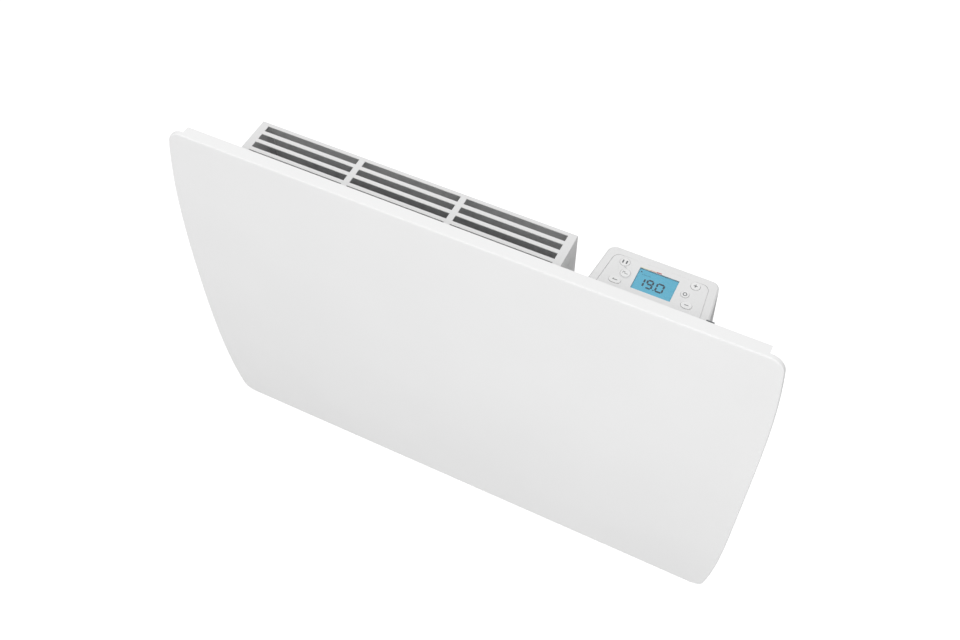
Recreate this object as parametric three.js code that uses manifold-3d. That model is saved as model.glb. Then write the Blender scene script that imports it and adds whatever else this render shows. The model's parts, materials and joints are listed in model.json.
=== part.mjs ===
// Wall panel convector heater: a bowed steel front panel with heating film, carried on a slim
// convector casing with top and bottom grilles, a control box and a steel wall bracket.
// Millimetres. X runs right as seen from the front, Y back to the wall, Z up.
// The origin is the centre of the wall bracket, on the plane of the wall.

import * as THREE from 'three';
import { mergeVertices } from 'three/addons/utils/BufferGeometryUtils.js';
import Module from 'manifold-3d';

const wasm = await Module();
wasm.setup();

// ---------------------------------------------------------------- driving dimensions

// clearances
const SEAT_GAP = 0.3;            // a piece resting on or bonded to its neighbour
const FIT = 0.3;                 // all round a pin, stem or body in its hole
const PRESS_CLEARANCE = 0.1;     // left under a button at the end of its travel

// casing of folded steel sheet
const WALL_GAP = 25.3;           // wall to the casing's back
const CASING_DEPTH = 54.1;
const CASING_WIDTH = 525.2;
const CASING_BOTTOM_Z = -225;
const BAY_TOP_DROP = 79.5;       // casing's top beside the chimney, below the panel's top edge
const SHEET = 1;
const LIP = 10;                  // folded lips of the side sheets
const CHIMNEY_WIDTH = 367.4;     // from the casing's left side
const SHIELD_TAB = 8;            // tab that stands up behind the front panel's flange

// front panel
const PANEL_WIDTH = 690;
const PANEL_HEIGHT = 495;
const PANEL_SHEET = 1.2;
const PANEL_BOW = 11.5;          // how far the middle stands in front of the top and bottom edges
const PANEL_SIDE_DROP = 11;      // how far the sides draw in by the corners
const PANEL_CORNER = 17;
const PANEL_RIM = 5.2;           // depth of the turned edge at the sides and corners
const PANEL_FLANGE = 14;         // depth of the turned edge along the top and bottom
const PANEL_TO_CASING = 0.6;
const BOW_STEPS = 12;

// heating film and its backing, stacked behind the front panel: how far each is set in from
// the casing's sides and from the panel's top and bottom, and its thickness
const FILM_LAYER = [7.6, 47.5, 0.8];
const BLANKET_LAYER = [5.6, 42.5, 8];
const REFLECTOR_LAYER = [3.6, 39.5, 0.5];

// brackets between the casing's sides and the front panel
const PANEL_BRACKET_SHEET = 1.5;
const PANEL_BRACKET_HEIGHT = 36;
const PANEL_BRACKET_REACH = 37;  // bonded leg, along the panel
const PANEL_BRACKET_BACK = 30;   // screwed leg, along the casing's side
const PANEL_BRACKET_INSET = { bottom: 75, top: 48 };  // middle, from the ends of the casing's side
const PANEL_SCREW_INSET = 14;    // screw axis behind the casing's front

// outlet grille
const GRILLE_DROP = 15.2;        // below the front panel's top edge
const GRILLE_SHEET = 1.5;
const SLOT_WIDTH = 7.67;
const SLOT_PITCH = 12.56;
const SLOT_LENGTH = 111.86;
const SLOT_DIVIDER = 6.86;
const SLOT_ROWS = 4;
const SLOT_COLUMNS = 3;

// inlet grille
const INLET_SLOT_WIDTH = 8;
const INLET_SLOT_PITCH = 13;
const INLET_SLOT_LENGTH = 70;
const INLET_DIVIDER = 7;
const INLET_ROWS = 3;
const INLET_COLUMNS = 4;

// heating element
const ELEMENT_END_GAP = 28.7;    // fins' end to the chamber's side
const ELEMENT_Z = -120;
const FIN_DEPTH = 40;
const FIN_HEIGHT = 56;
const FIN_THICKNESS = 1.2;
const FIN_PITCH = 12;
const CORE_RADIUS = 7;
const ROD_RADIUS = 4;
const ROD_REACH = 15;            // beyond the fins
const BUSH_WALL = 1.7;
const BUSH_LENGTH = 7;
const BUSH_FLANGE = 2;           // how far the bush's collar stands out, and its thickness
const HANGER_SHEET = 1.5;
const HANGER_HEIGHT = 60;
const HANGER_OFFSET = 10;        // from the fins' end
const STUD_RADIUS = 2;
const STUD_LENGTH = 6;
const STUD_WASHER = 1.5;

// safety cut-out above the element
const CUTOUT_RADIUS = 8;
const CUTOUT_HEIGHT = 9;
const CUTOUT_FLANGE = 12;
const CUTOUT_X = 20;
const CUTOUT_Z = -60;
const BLADE = [6.3, 0.8, 8];     // push-on terminal: width, thickness, length

// control box
const CONTROL_X = 194.7;
const CONTROL_BACK_Y = -19.9;
const CONTROL_BACK_WIDTH = 112.6;
const CONTROL_FRONT_WIDTH = 125;
const CONTROL_CORNER = 9;
const CONTROL_WALL = 2;
const COVER_THICKNESS = 2.5;
const LCD_SIZE = [40, 27.4];
const LCD_Y = -49;
const LCD_FRAME = 3;             // width of the module round the glass
const WINDOW_THICKNESS = 0.8;
const WINDOW_RECESS = 0.3;
const MODULE_DEPTH = 7;
const BOARD_THICKNESS = 1.6;
const BOARD_MARGIN = 1.5;        // control board to the housing's wall
const LEDGE = 4;
const CABLE_OPENING = [30, 20];
const SNAP_LEG = [12, 2, 8];

// buttons: place from the control box's centre, and size; the longer ones are ovals
const BUTTON_PLACES = {
  button_mode: [-35.8, -36.2, 10, 10],
  button_program: [-30.4, -49, 10, 10],
  button_back: [-36.6, -60.6, 12, 7.6],
  button_plus: [35.8, -34.5, 9.4, 9.4],
  button_ok: [30, -48.1, 8, 8],
  button_minus: [35.6, -59.9, 11, 8],
};
const BUTTON_PROUD = 0.6;
const BUTTON_TRAVEL = 0.8;
const BUTTON_COLLAR = 1;
const BUTTON_STEM = 3.2;         // below the cover
const KEY_SWITCH = 6;

// mains switch on the casing's right side
const SWITCH_Z = 60;
const SWITCH_BODY = [19.4, 26.4, 17];
const SWITCH_BEZEL = [24, 31, 1.5];
const SWITCH_POCKET = [16, 23, 9];
const ROCKER_TILT = 7;           // degrees, at rest
const ROCKER_PIN = 1.3;

// electrical bay
const BLOCK_SIZE = [42, 18, 18];
const BLOCK_X = 228;
const BLOCK_Z = -175;
const BLOCK_WELL = [3, 7];       // radius and depth of the screw wells
const POWER_BOARD_SIZE = [100, 120];
const POWER_BOARD_X = 190;
const POWER_BOARD_Z = 60;
const POWER_BOARD_POST = 9;
const POST_RADIUS = 2.5;
const GLAND_X = 228;
const GLAND_BORE = 4.2;
const GLAND_BODY = 8;
const GLAND_FLANGE = 11;
const GLAND_REACH = 9;           // above and below the floor
const GLAND_CHAMFER = [2, 3];
const SENSOR_X = 150;
const SENSOR_RADIUS = 3;
const SENSOR_TIP = 1.6;
const SENSOR_REACH = 14;         // below the floor
const SENSOR_COLLAR = [5, 2];

// leads from the terminal block to the element
const LEAD_RADIUS = 1.5;
const LEAD_HOLE = 4;
const LEAD_DROP = [30, 52];      // below the rod, where each lead crosses the partition

// screws
const SCREW = { head: 3.6, headHeight: 2.2, shank: 1.8, length: 10 };

// wall bracket
const BRACKET_SHEET = 2;
const RAIL_X = 78;               // inner face of each rail's flange
const RAIL_WEB = 24;
const RAIL_Z = [-205, 140];
const RAIL_DEPTH = 22;
const BAR_HEIGHT = 30;
const BAR_Z = { top: 110, middle: 0, bottom: -135 };
const WALL_HOLE_RADIUS = 3.2;
const WALL_HOLE_X = 40;
const HOOK_Z = -185;             // saddle that carries the casing's back
const HOOK_TIP = 5;
const HOOK_HEIGHT = 20;
const HOOK_REACH = 32;           // from the wall
const SADDLE_CLEARANCE = 0.5;
const REST_PAD_Z = [55, 90];

// sliding latches
const LATCH_WIDTH = 10;
const LATCH_HEIGHT = 32;
const LATCH_Z = 106;
const LATCH_Y = [-21.5, -6.5];
const LATCH_TRAVEL = 8;
const BOLT_Z = 122;
const BOLT_HEIGHT = 6;
const BOLT_REACH = 30;           // from the wall
const BOLT_TIP = [2, 6];         // thickness and height of the upturned end
const LATCH_PIN_RADIUS = 1.9;
const LATCH_PIN_HEAD = 4;
const LATCH_PIN_Z = 114;

// spacers that keep the casing's foot off the wall
const SPACER_X = 225;
const SPACER_Z = -200;
const SPACER_RADII = [8, 10];

// ---------------------------------------------------------------- places that follow

const CASING_BACK_Y = -WALL_GAP;
const CASING_FRONT_Y = CASING_BACK_Y - CASING_DEPTH;
const INNER_BACK_Y = CASING_BACK_Y - SHEET;
const INNER_FRONT_Y = CASING_FRONT_Y + SHEET;
const MID_Y = (INNER_BACK_Y + INNER_FRONT_Y) / 2;
const CASING_HALF = CASING_WIDTH / 2;
const CHIMNEY_X = CHIMNEY_WIDTH - CASING_HALF;
const CHAMBER_X = (CHIMNEY_X - CASING_HALF) / 2;
const ELEMENT_LENGTH = CHIMNEY_WIDTH - 2 * ELEMENT_END_GAP;
const ROD_LENGTH = ELEMENT_LENGTH + 2 * ROD_REACH;
const PANEL_HALF_X = PANEL_WIDTH / 2;
const PANEL_HALF_Z = PANEL_HEIGHT / 2;
const FLANGE_BACK_Y = CASING_FRONT_Y - PANEL_TO_CASING;
const PANEL_EDGE_Y = FLANGE_BACK_Y - PANEL_FLANGE;
const GRILLE_TOP_Z = PANEL_HALF_Z - GRILLE_DROP;
const BAY_TOP_Z = PANEL_HALF_Z - BAY_TOP_DROP;
const GRILLE_UNDER_Z = GRILLE_TOP_Z - GRILLE_SHEET;
const FLOOR_Z = CASING_BOTTOM_Z + SHEET;
const COVER_UNDER_Z = GRILLE_TOP_Z - COVER_THICKNESS;
const CONTROL_FRONT_Y = INNER_FRONT_Y + SEAT_GAP;
const BUTTON_FOOT_Z = COVER_UNDER_Z - BUTTON_STEM;
const KEY_TOP_Z = BUTTON_FOOT_Z - BUTTON_TRAVEL - PRESS_CLEARANCE;
const MODULE_TOP_Z = COVER_UNDER_Z - SEAT_GAP;
const BOARD_TOP_Z = MODULE_TOP_Z - MODULE_DEPTH - SEAT_GAP;

// ---------------------------------------------------------------- materials

function paint(color, roughness, metalness = 0) {
  return new THREE.MeshStandardMaterial({ color, roughness, metalness });
}

const whitePaint = () => paint(0xf2f2f1, 0.45);
const galvanised = () => paint(0x8f9497, 0.5, 0.8);
const aluminium = () => paint(0xc3c7ca, 0.4, 0.9);
const steel = () => paint(0xa9adb0, 0.35, 1);
const whitePlastic = () => paint(0xe9eaea, 0.5);
const greyPlastic = () => paint(0x5c6166, 0.6);
const blackPlastic = () => paint(0x26282a, 0.55);
const ceramic = () => paint(0xd9cfc0, 0.7);
const boardGreen = () => paint(0x1f5a3c, 0.5);
const screenBlue = () => paint(0x6ab8cf, 0.3);
const clear = () => paint(0xcfe4ea, 0.1);
const filmAmber = () => paint(0x8c5a2b, 0.4);
const mineralWool = () => paint(0xd8d2b8, 0.95);
const leadRed = () => paint(0x8d2f2a, 0.6);
const leadBlue = () => paint(0x2c4f8a, 0.6);

// ---------------------------------------------------------------- shapes and booleans

function solid(geometry) {
  const bare = geometry.clone();
  bare.deleteAttribute('normal');
  bare.deleteAttribute('uv');
  const merged = mergeVertices(bare, 1e-4);
  const corners = merged.index.array;
  const triangles = [];
  for (let i = 0; i < corners.length; i += 3) {
    const [a, b, c] = corners.slice(i, i + 3);
    if (a !== b && b !== c && c !== a) {
      triangles.push(a, b, c);
    }
  }
  return new wasm.Manifold(new wasm.Mesh({
    numProp: 3,
    vertProperties: new Float32Array(merged.attributes.position.array),
    triVerts: new Uint32Array(triangles),
  }));
}

function toGeometry(body) {
  const { vertProperties, triVerts, numProp } = body.getMesh();
  const positions = new Float32Array(vertProperties.length / numProp * 3);
  for (let i = 0; i < positions.length / 3; i += 1) {
    positions.set(vertProperties.slice(i * numProp, i * numProp + 3), i * 3);
  }
  const geometry = new THREE.BufferGeometry();
  geometry.setAttribute('position', new THREE.BufferAttribute(positions, 3));
  geometry.setIndex(new THREE.BufferAttribute(new Uint32Array(triVerts), 1));
  geometry.computeVertexNormals();
  return geometry;
}

function join(...bodies) {
  return bodies.reduce((whole, body) => whole.add(body));
}

function cut(body, ...tools) {
  return tools.reduce((rest, tool) => rest.subtract(tool), body);
}

// a block between two x, two y and two z values, each pair in any order
function block([x0, x1], [y0, y1], [z0, z1]) {
  const geometry = new THREE.BoxGeometry(Math.abs(x1 - x0), Math.abs(y1 - y0), Math.abs(z1 - z0));
  geometry.translate((x0 + x1) / 2, (y0 + y1) / 2, (z0 + z1) / 2);
  return solid(geometry);
}

function shapeOf(points) {
  return new THREE.Shape(points.map(([a, b]) => new THREE.Vector2(a, b)));
}

function rectangle([a0, a1], [b0, b1]) {
  return [[a0, b0], [a1, b0], [a1, b1], [a0, b1]];
}

function extrude(shape, depth) {
  return new THREE.ExtrudeGeometry(shape, { depth, bevelEnabled: false, curveSegments: 6 });
}

// an outline in x and y, extruded between two heights
function prismZ(shape, [z0, z1]) {
  const geometry = extrude(shape, z1 - z0);
  geometry.translate(0, 0, z0);
  return solid(geometry);
}

// an outline in x and z, extruded between two y values
function prismY(shape, [y0, y1]) {
  const geometry = extrude(shape, y1 - y0);
  geometry.rotateX(Math.PI / 2);
  geometry.translate(0, y1, 0);
  return solid(geometry);
}

// an outline in y and z, extruded between two x values
function prismX(shape, [x0, x1]) {
  const geometry = extrude(shape, x1 - x0);
  const turn = new THREE.Matrix4().makeBasis(
    new THREE.Vector3(0, 1, 0), new THREE.Vector3(0, 0, 1), new THREE.Vector3(1, 0, 0));
  geometry.applyMatrix4(turn);
  geometry.translate(x0, 0, 0);
  return solid(geometry);
}

const TURNS = {
  x: new THREE.Matrix4().makeRotationZ(-Math.PI / 2),
  y: new THREE.Matrix4(),
  z: new THREE.Matrix4().makeRotationX(Math.PI / 2),
};

// a profile of [radius, distance along the axis] turned about an axis through a point
function turned(profile, axis, [x, y, z], sides = 16) {
  const points = profile.map(([radius, along]) => new THREE.Vector2(radius, along));
  const geometry = new THREE.LatheGeometry(points, sides);
  geometry.applyMatrix4(TURNS[axis]);
  geometry.translate(x, y, z);
  const body = solid(geometry);
  return body.volume() < 0 ? solid(flipped(geometry)) : body;
}

function flipped(geometry) {
  const copy = geometry.clone();
  copy.index.array.reverse();
  return copy;
}

function pin(axis, radius, [from, to], centre, sides = 16) {
  return turned([[0, from], [radius, from], [radius, to], [0, to]], axis, centre, sides);
}

function piece(name, body, material) {
  const mesh = new THREE.Mesh(toGeometry(body), material);
  mesh.name = name;
  return mesh;
}

function mirrored(range, side) {
  return side > 0 ? range : [-range[1], -range[0]];
}

const SIDES = { left: -1, right: 1 };

// ---------------------------------------------------------------- front panel and film

// the panel's outer face at a height, on the flat facets that all the curved sheets share
function bowY(z) {
  const step = PANEL_HEIGHT / BOW_STEPS;
  const index = Math.min(Math.floor((z + PANEL_HALF_Z) / step), BOW_STEPS - 1);
  const at = (k) => {
    const share = (k * step - PANEL_HALF_Z) / PANEL_HALF_Z;
    return PANEL_EDGE_Y - PANEL_BOW * (1 - share * share);
  };
  const part = (z + PANEL_HALF_Z) / step - index;
  return at(index) * (1 - part) + at(index + 1) * part;
}

function bowHeights([z0, z1]) {
  const heights = [z0];
  for (let k = 0; k <= BOW_STEPS; k += 1) {
    const z = k * PANEL_HEIGHT / BOW_STEPS - PANEL_HALF_Z;
    if (z > z0 + 0.01 && z < z1 - 0.01) {
      heights.push(z);
    }
  }
  heights.push(z1);
  return heights;
}

// a sheet that follows the panel's bow, a given depth behind its outer face
function bowedSheet(xRange, zRange, offset, thickness) {
  const heights = bowHeights(zRange);
  const front = heights.map((z) => [bowY(z) + offset, z]);
  const back = heights.map((z) => [bowY(z) + offset + thickness, z]).reverse();
  return prismX(shapeOf([...front, ...back]), xRange);
}

// the panel seen from the front: sides that draw in towards rounded corners
function panelOutline(inset) {
  const halfX = PANEL_HALF_X - inset;
  const halfZ = PANEL_HALF_Z - inset;
  const radius = PANEL_CORNER - inset;
  const sideX = (z) => halfX - PANEL_SIDE_DROP * (Math.abs(z) / PANEL_HALF_Z) ** 4;
  const centreZ = halfZ - radius;
  const slope = -4 * PANEL_SIDE_DROP / PANEL_HALF_Z * (centreZ / PANEL_HALF_Z) ** 3;
  const stretch = Math.hypot(1, slope);
  const centreX = sideX(centreZ) - radius * stretch;
  const startAngle = Math.atan2(-slope, 1);
  const tangentZ = centreZ + radius * Math.sin(startAngle);
  const quarter = [];
  const sideSteps = 8;
  for (let i = 0; i < sideSteps; i += 1) {
    const z = tangentZ * i / sideSteps;
    quarter.push([sideX(z), z]);
  }
  const cornerSteps = 6;
  for (let i = 0; i <= cornerSteps; i += 1) {
    const angle = startAngle + (Math.PI / 2 - startAngle) * i / cornerSteps;
    quarter.push([centreX + radius * Math.cos(angle), centreZ + radius * Math.sin(angle)]);
  }
  const upperLeft = quarter.slice().reverse().map(([x, z]) => [-x, z]);
  const lowerLeft = quarter.slice(1).map(([x, z]) => [-x, -z]);
  const lowerRight = quarter.slice(1).reverse().map(([x, z]) => [x, -z]);
  return { points: [...quarter, ...upperLeft, ...lowerLeft, ...lowerRight], straightX: centreX };
}

function frontPanel() {
  const outer = panelOutline(0);
  const inner = panelOutline(PANEL_SHEET);
  const depth = [PANEL_EDGE_Y - PANEL_BOW - 1, FLANGE_BACK_Y];
  const whole = [-PANEL_HALF_X, PANEL_HALF_X];
  const high = [-PANEL_HALF_Z, PANEL_HALF_Z];
  const tray = prismY(shapeOf(outer.points), depth).intersect(bowedSheet(whole, high, 0, PANEL_RIM));
  const room = prismY(shapeOf(inner.points), depth).intersect(
    bowedSheet(whole, high, PANEL_SHEET, PANEL_FLANGE));
  const straight = [PANEL_SHEET - outer.straightX, outer.straightX - PANEL_SHEET];
  const flangeY = [PANEL_EDGE_Y + PANEL_SHEET / 2, FLANGE_BACK_Y];
  const top = block(straight, flangeY, [PANEL_HALF_Z - PANEL_SHEET, PANEL_HALF_Z]);
  const bottom = block(straight, flangeY, [-PANEL_HALF_Z, PANEL_SHEET - PANEL_HALF_Z]);
  return piece('front_panel', join(cut(tray, room), top, bottom), whitePaint());
}

function panelLayers() {
  const layers = [
    ['radiant_film', FILM_LAYER, filmAmber],
    ['film_insulation', BLANKET_LAYER, mineralWool],
    ['reflector_sheet', REFLECTOR_LAYER, aluminium],
  ];
  let offset = PANEL_SHEET;
  return layers.map(([name, [inset, margin, thickness], material]) => {
    offset += SEAT_GAP;
    const halfX = CASING_HALF - inset;
    const halfZ = PANEL_HALF_Z - margin;
    const sheet = bowedSheet([-halfX, halfX], [-halfZ, halfZ], offset, thickness);
    offset += thickness;
    return piece(name, sheet, material());
  });
}

function panelScrewPlaces() {
  const y = CASING_FRONT_Y + PANEL_SCREW_INSET;
  const heights = {
    bottom: CASING_BOTTOM_Z + PANEL_BRACKET_INSET.bottom,
    top: BAY_TOP_Z - PANEL_BRACKET_INSET.top,
  };
  return Object.entries(SIDES).flatMap(([sideName, side]) =>
    Object.entries(heights).map(([level, z]) => ({ name: `${sideName}_${level}`, side, y, z })));
}

function screw(place) {
  const { head, headHeight, shank, length } = SCREW;
  const profile = [
    [0, -length], [shank * 0.6, -length], [shank, -length + 1.5], [shank, 0], [head, 0],
    [head, headHeight * 0.45], [head * 0.75, headHeight * 0.85], [head * 0.3, headHeight],
    [0, headHeight],
  ];
  const turnedProfile = profile.map(([radius, along]) => [radius, along * place.side]);
  const x = place.side * (CASING_HALF + PANEL_BRACKET_SHEET);
  return turned(turnedProfile, 'x', [x, place.y, place.z], 12);
}

function panelBrackets() {
  const offset = PANEL_SHEET + SEAT_GAP;
  return panelScrewPlaces().flatMap((place) => {
    const zRange = [place.z - PANEL_BRACKET_HEIGHT / 2, place.z + PANEL_BRACKET_HEIGHT / 2];
    const reach = mirrored([CASING_HALF, CASING_HALF + PANEL_BRACKET_REACH], place.side);
    const sheet = mirrored([CASING_HALF, CASING_HALF + PANEL_BRACKET_SHEET], place.side);
    const bonded = bowedSheet(reach, zRange, offset, PANEL_BRACKET_SHEET);
    const legDepth = [PANEL_EDGE_Y - PANEL_BOW, CASING_FRONT_Y + PANEL_BRACKET_BACK];
    const leg = bowedSheet(sheet, zRange, offset + PANEL_BRACKET_SHEET / 2, CASING_DEPTH).intersect(
      block(sheet, legDepth, zRange));
    const hole = pin('x', SCREW.shank + FIT, [-5, 5], [sheet[0], place.y, place.z], 12);
    return [
      piece(`panel_bracket_${place.name}`, cut(join(bonded, leg), hole), galvanised()),
      piece(`panel_screw_${place.name}`, screw(place), steel()),
    ];
  });
}

// ---------------------------------------------------------------- casing

function slotCuts(xCentre, yCentre, zRange, { columns, rows, length, divider, width, pitch }) {
  const cuts = [];
  const spanX = columns * length + (columns - 1) * divider;
  const spanY = (rows - 1) * pitch + width;
  for (let column = 0; column < columns; column += 1) {
    for (let row = 0; row < rows; row += 1) {
      const x = xCentre - spanX / 2 + column * (length + divider);
      const y = yCentre - spanY / 2 + row * pitch;
      cuts.push(block([x, x + length], [y, y + width], zRange));
    }
  }
  return cuts;
}

function outletGrille() {
  const plate = block([-CASING_HALF, CHIMNEY_X], [CASING_FRONT_Y, CASING_BACK_Y], [GRILLE_UNDER_Z, GRILLE_TOP_Z]);
  const through = [GRILLE_UNDER_Z - 1, GRILLE_TOP_Z + 1];
  const slots = slotCuts(CHAMBER_X, (CASING_FRONT_Y + CASING_BACK_Y) / 2, through, {
    columns: SLOT_COLUMNS, rows: SLOT_ROWS, length: SLOT_LENGTH,
    divider: SLOT_DIVIDER, width: SLOT_WIDTH, pitch: SLOT_PITCH,
  });
  return piece('outlet_grille', cut(plate, ...slots), whitePaint());
}

function inletGrille() {
  const plate = block([-CASING_HALF, CHIMNEY_X], [INNER_FRONT_Y, INNER_BACK_Y], [CASING_BOTTOM_Z, FLOOR_Z]);
  const slots = slotCuts(CHAMBER_X, MID_Y, [CASING_BOTTOM_Z - 1, FLOOR_Z + 1], {
    columns: INLET_COLUMNS, rows: INLET_ROWS, length: INLET_SLOT_LENGTH,
    divider: INLET_DIVIDER, width: INLET_SLOT_WIDTH, pitch: INLET_SLOT_PITCH,
  });
  return piece('inlet_grille', cut(plate, ...slots), whitePaint());
}

// the casing seen from the front, with the points of its top edge to the right of the chimney
function casingOutline(rightTop) {
  return shapeOf([
    [-CASING_HALF, CASING_BOTTOM_Z], [CASING_HALF, CASING_BOTTOM_Z], ...rightTop,
    [CHIMNEY_X, BAY_TOP_Z], [CHIMNEY_X, GRILLE_UNDER_Z], [-CASING_HALF, GRILLE_UNDER_Z],
  ]);
}

function boltSlotZ() {
  return [BOLT_Z - LATCH_TRAVEL - 1, BOLT_Z + BOLT_HEIGHT + 1];
}

function rearPanel() {
  const sheetY = [INNER_BACK_Y, CASING_BACK_Y];
  const through = [INNER_BACK_Y - 1, CASING_BACK_Y + 1];
  const hookX = [RAIL_X - 1, RAIL_X + BRACKET_SHEET + 1];
  const boltX = [RAIL_X + BRACKET_SHEET, RAIL_X + BRACKET_SHEET + LATCH_WIDTH + 1];
  const hookZ = [HOOK_Z + HOOK_TIP - HOOK_HEIGHT - 3, HOOK_Z + SEAT_GAP];
  const slots = Object.values(SIDES).flatMap((side) => [
    block(mirrored(hookX, side), through, hookZ),
    block(mirrored(boltX, side), through, boltSlotZ()),
  ]);
  return piece('rear_panel', cut(prismY(casingOutline([[CASING_HALF, BAY_TOP_Z]]), sheetY), ...slots), whitePaint());
}

function frontShield() {
  const tabTop = PANEL_HALF_Z - SEAT_GAP;
  const tabX = CASING_HALF - SHIELD_TAB;
  const boxX = CONTROL_X - CONTROL_FRONT_WIDTH / 2;
  const outline = casingOutline([
    [CASING_HALF, tabTop], [tabX, tabTop], [tabX, GRILLE_TOP_Z], [boxX, GRILLE_TOP_Z], [boxX, BAY_TOP_Z],
  ]);
  return piece('front_shield', prismY(outline, [CASING_FRONT_Y, INNER_FRONT_Y]), galvanised());
}

// an upright sheet between front and back, with a lip folded along each
function uprightSheet(outerX, inward, zRange) {
  const inner = outerX + inward * SHEET;
  const lip = inner + inward * LIP;
  const outline = [
    [outerX, INNER_FRONT_Y], [lip, INNER_FRONT_Y], [lip, INNER_FRONT_Y + SHEET],
    [inner, INNER_FRONT_Y + SHEET], [inner, INNER_BACK_Y - SHEET], [lip, INNER_BACK_Y - SHEET],
    [lip, INNER_BACK_Y], [outerX, INNER_BACK_Y],
  ];
  return prismZ(shapeOf(outline), zRange);
}

function sidePanels() {
  const tops = { left: GRILLE_UNDER_Z, right: BAY_TOP_Z };
  return Object.entries(SIDES).map(([name, side]) => {
    const holes = panelScrewPlaces()
      .filter((place) => place.side === side)
      .map(({ y, z }) => pin('x', SCREW.shank + FIT, [-3, 3], [side * CASING_HALF, y, z], 12));
    if (side > 0) {
      const halfY = SWITCH_BODY[0] / 2 + FIT;
      const halfZ = SWITCH_BODY[1] / 2 + FIT;
      holes.push(block([CASING_HALF - 5, CASING_HALF + 5], [MID_Y - halfY, MID_Y + halfY],
        [SWITCH_Z - halfZ, SWITCH_Z + halfZ]));
    }
    const sheet = uprightSheet(side * CASING_HALF, -side, [FLOOR_Z, tops[name]]);
    return piece(`side_panel_${name}`, cut(sheet, ...holes), whitePaint());
  });
}

function bayPartition() {
  const holes = LEAD_DROP.map((drop) =>
    pin('x', LEAD_HOLE, [-5, 5], [CHIMNEY_X, MID_Y, ELEMENT_Z - drop], 12));
  const sheet = uprightSheet(CHIMNEY_X, -1, [FLOOR_Z, GRILLE_UNDER_Z]);
  return piece('bay_partition', cut(sheet, ...holes), whitePaint());
}

function bayFloor() {
  const plate = block([CHIMNEY_X, CASING_HALF], [INNER_FRONT_Y, INNER_BACK_Y], [CASING_BOTTOM_Z, FLOOR_Z]);
  const gland = pin('z', GLAND_BODY + FIT, [-5, 5], [GLAND_X, MID_Y, FLOOR_Z], 24);
  const sensor = pin('z', SENSOR_RADIUS + FIT, [-5, 5], [SENSOR_X, MID_Y, FLOOR_Z], 16);
  return piece('bay_floor', cut(plate, gland, sensor), whitePaint());
}

function cableOpening(zRange) {
  const [width, depth] = CABLE_OPENING;
  return block([CONTROL_X - width / 2, CONTROL_X + width / 2], [MID_Y - depth / 2, MID_Y + depth / 2], zRange);
}

function snapLegs(clearance, zRange) {
  const [width, thickness] = SNAP_LEG;
  return Object.values(SIDES).map((side) => {
    const x = CONTROL_X + side * (CABLE_OPENING[0] / 2 + 15);
    return block([x - width / 2 - clearance, x + width / 2 + clearance],
      [MID_Y - thickness / 2 - clearance, MID_Y + thickness / 2 + clearance], zRange);
  });
}

function bayTop() {
  const zRange = [BAY_TOP_Z - SHEET, BAY_TOP_Z];
  const through = [BAY_TOP_Z - 5, BAY_TOP_Z + 5];
  const whole = block([CHIMNEY_X, CASING_HALF - SHEET], [INNER_FRONT_Y, INNER_BACK_Y], zRange);
  const corners = [INNER_FRONT_Y + SHEET, INNER_BACK_Y - SHEET].map((y, i) => block(
    [CASING_HALF - SHEET - LIP, CASING_HALF], i === 0 ? [y - 5, y] : [y, y + 5], through));
  const plate = cut(whole, ...corners);
  return piece('bay_top', cut(plate, cableOpening(through), ...snapLegs(FIT, through)), whitePaint());
}

function wallSpacers() {
  const [tip, root] = SPACER_RADII;
  return Object.entries(SIDES).map(([name, side]) => {
    const profile = [[0, CASING_BACK_Y], [root, CASING_BACK_Y], [tip, -SEAT_GAP], [0, -SEAT_GAP]];
    return piece(`wall_spacer_${name}`, turned(profile, 'y', [side * SPACER_X, 0, SPACER_Z]), greyPlastic());
  });
}

// ---------------------------------------------------------------- heating element

function elementFins() {
  const from = CHAMBER_X - ELEMENT_LENGTH / 2;
  const core = pin('x', CORE_RADIUS, [from, from + ELEMENT_LENGTH], [0, MID_Y, ELEMENT_Z], 8);
  const count = Math.floor((ELEMENT_LENGTH - FIN_THICKNESS) / FIN_PITCH) + 1;
  const margin = (ELEMENT_LENGTH - (count - 1) * FIN_PITCH - FIN_THICKNESS) / 2;
  const bodies = [core];
  for (let i = 0; i < count; i += 1) {
    const x = from + margin + i * FIN_PITCH;
    bodies.push(block([x, x + FIN_THICKNESS], [MID_Y - FIN_DEPTH / 2, MID_Y + FIN_DEPTH / 2],
      [ELEMENT_Z - FIN_HEIGHT / 2, ELEMENT_Z + FIN_HEIGHT / 2]));
  }
  const bore = pin('x', ROD_RADIUS + FIT, [from - 1, from + ELEMENT_LENGTH + 1], [0, MID_Y, ELEMENT_Z], 8);
  return piece('element_fins', cut(join(...bodies), bore), aluminium());
}

function elementRod() {
  const half = ROD_LENGTH / 2;
  const rod = pin('x', ROD_RADIUS, [-half, half], [CHAMBER_X, MID_Y, ELEMENT_Z], 8);
  return piece('element_rod', rod, steel());
}

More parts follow.
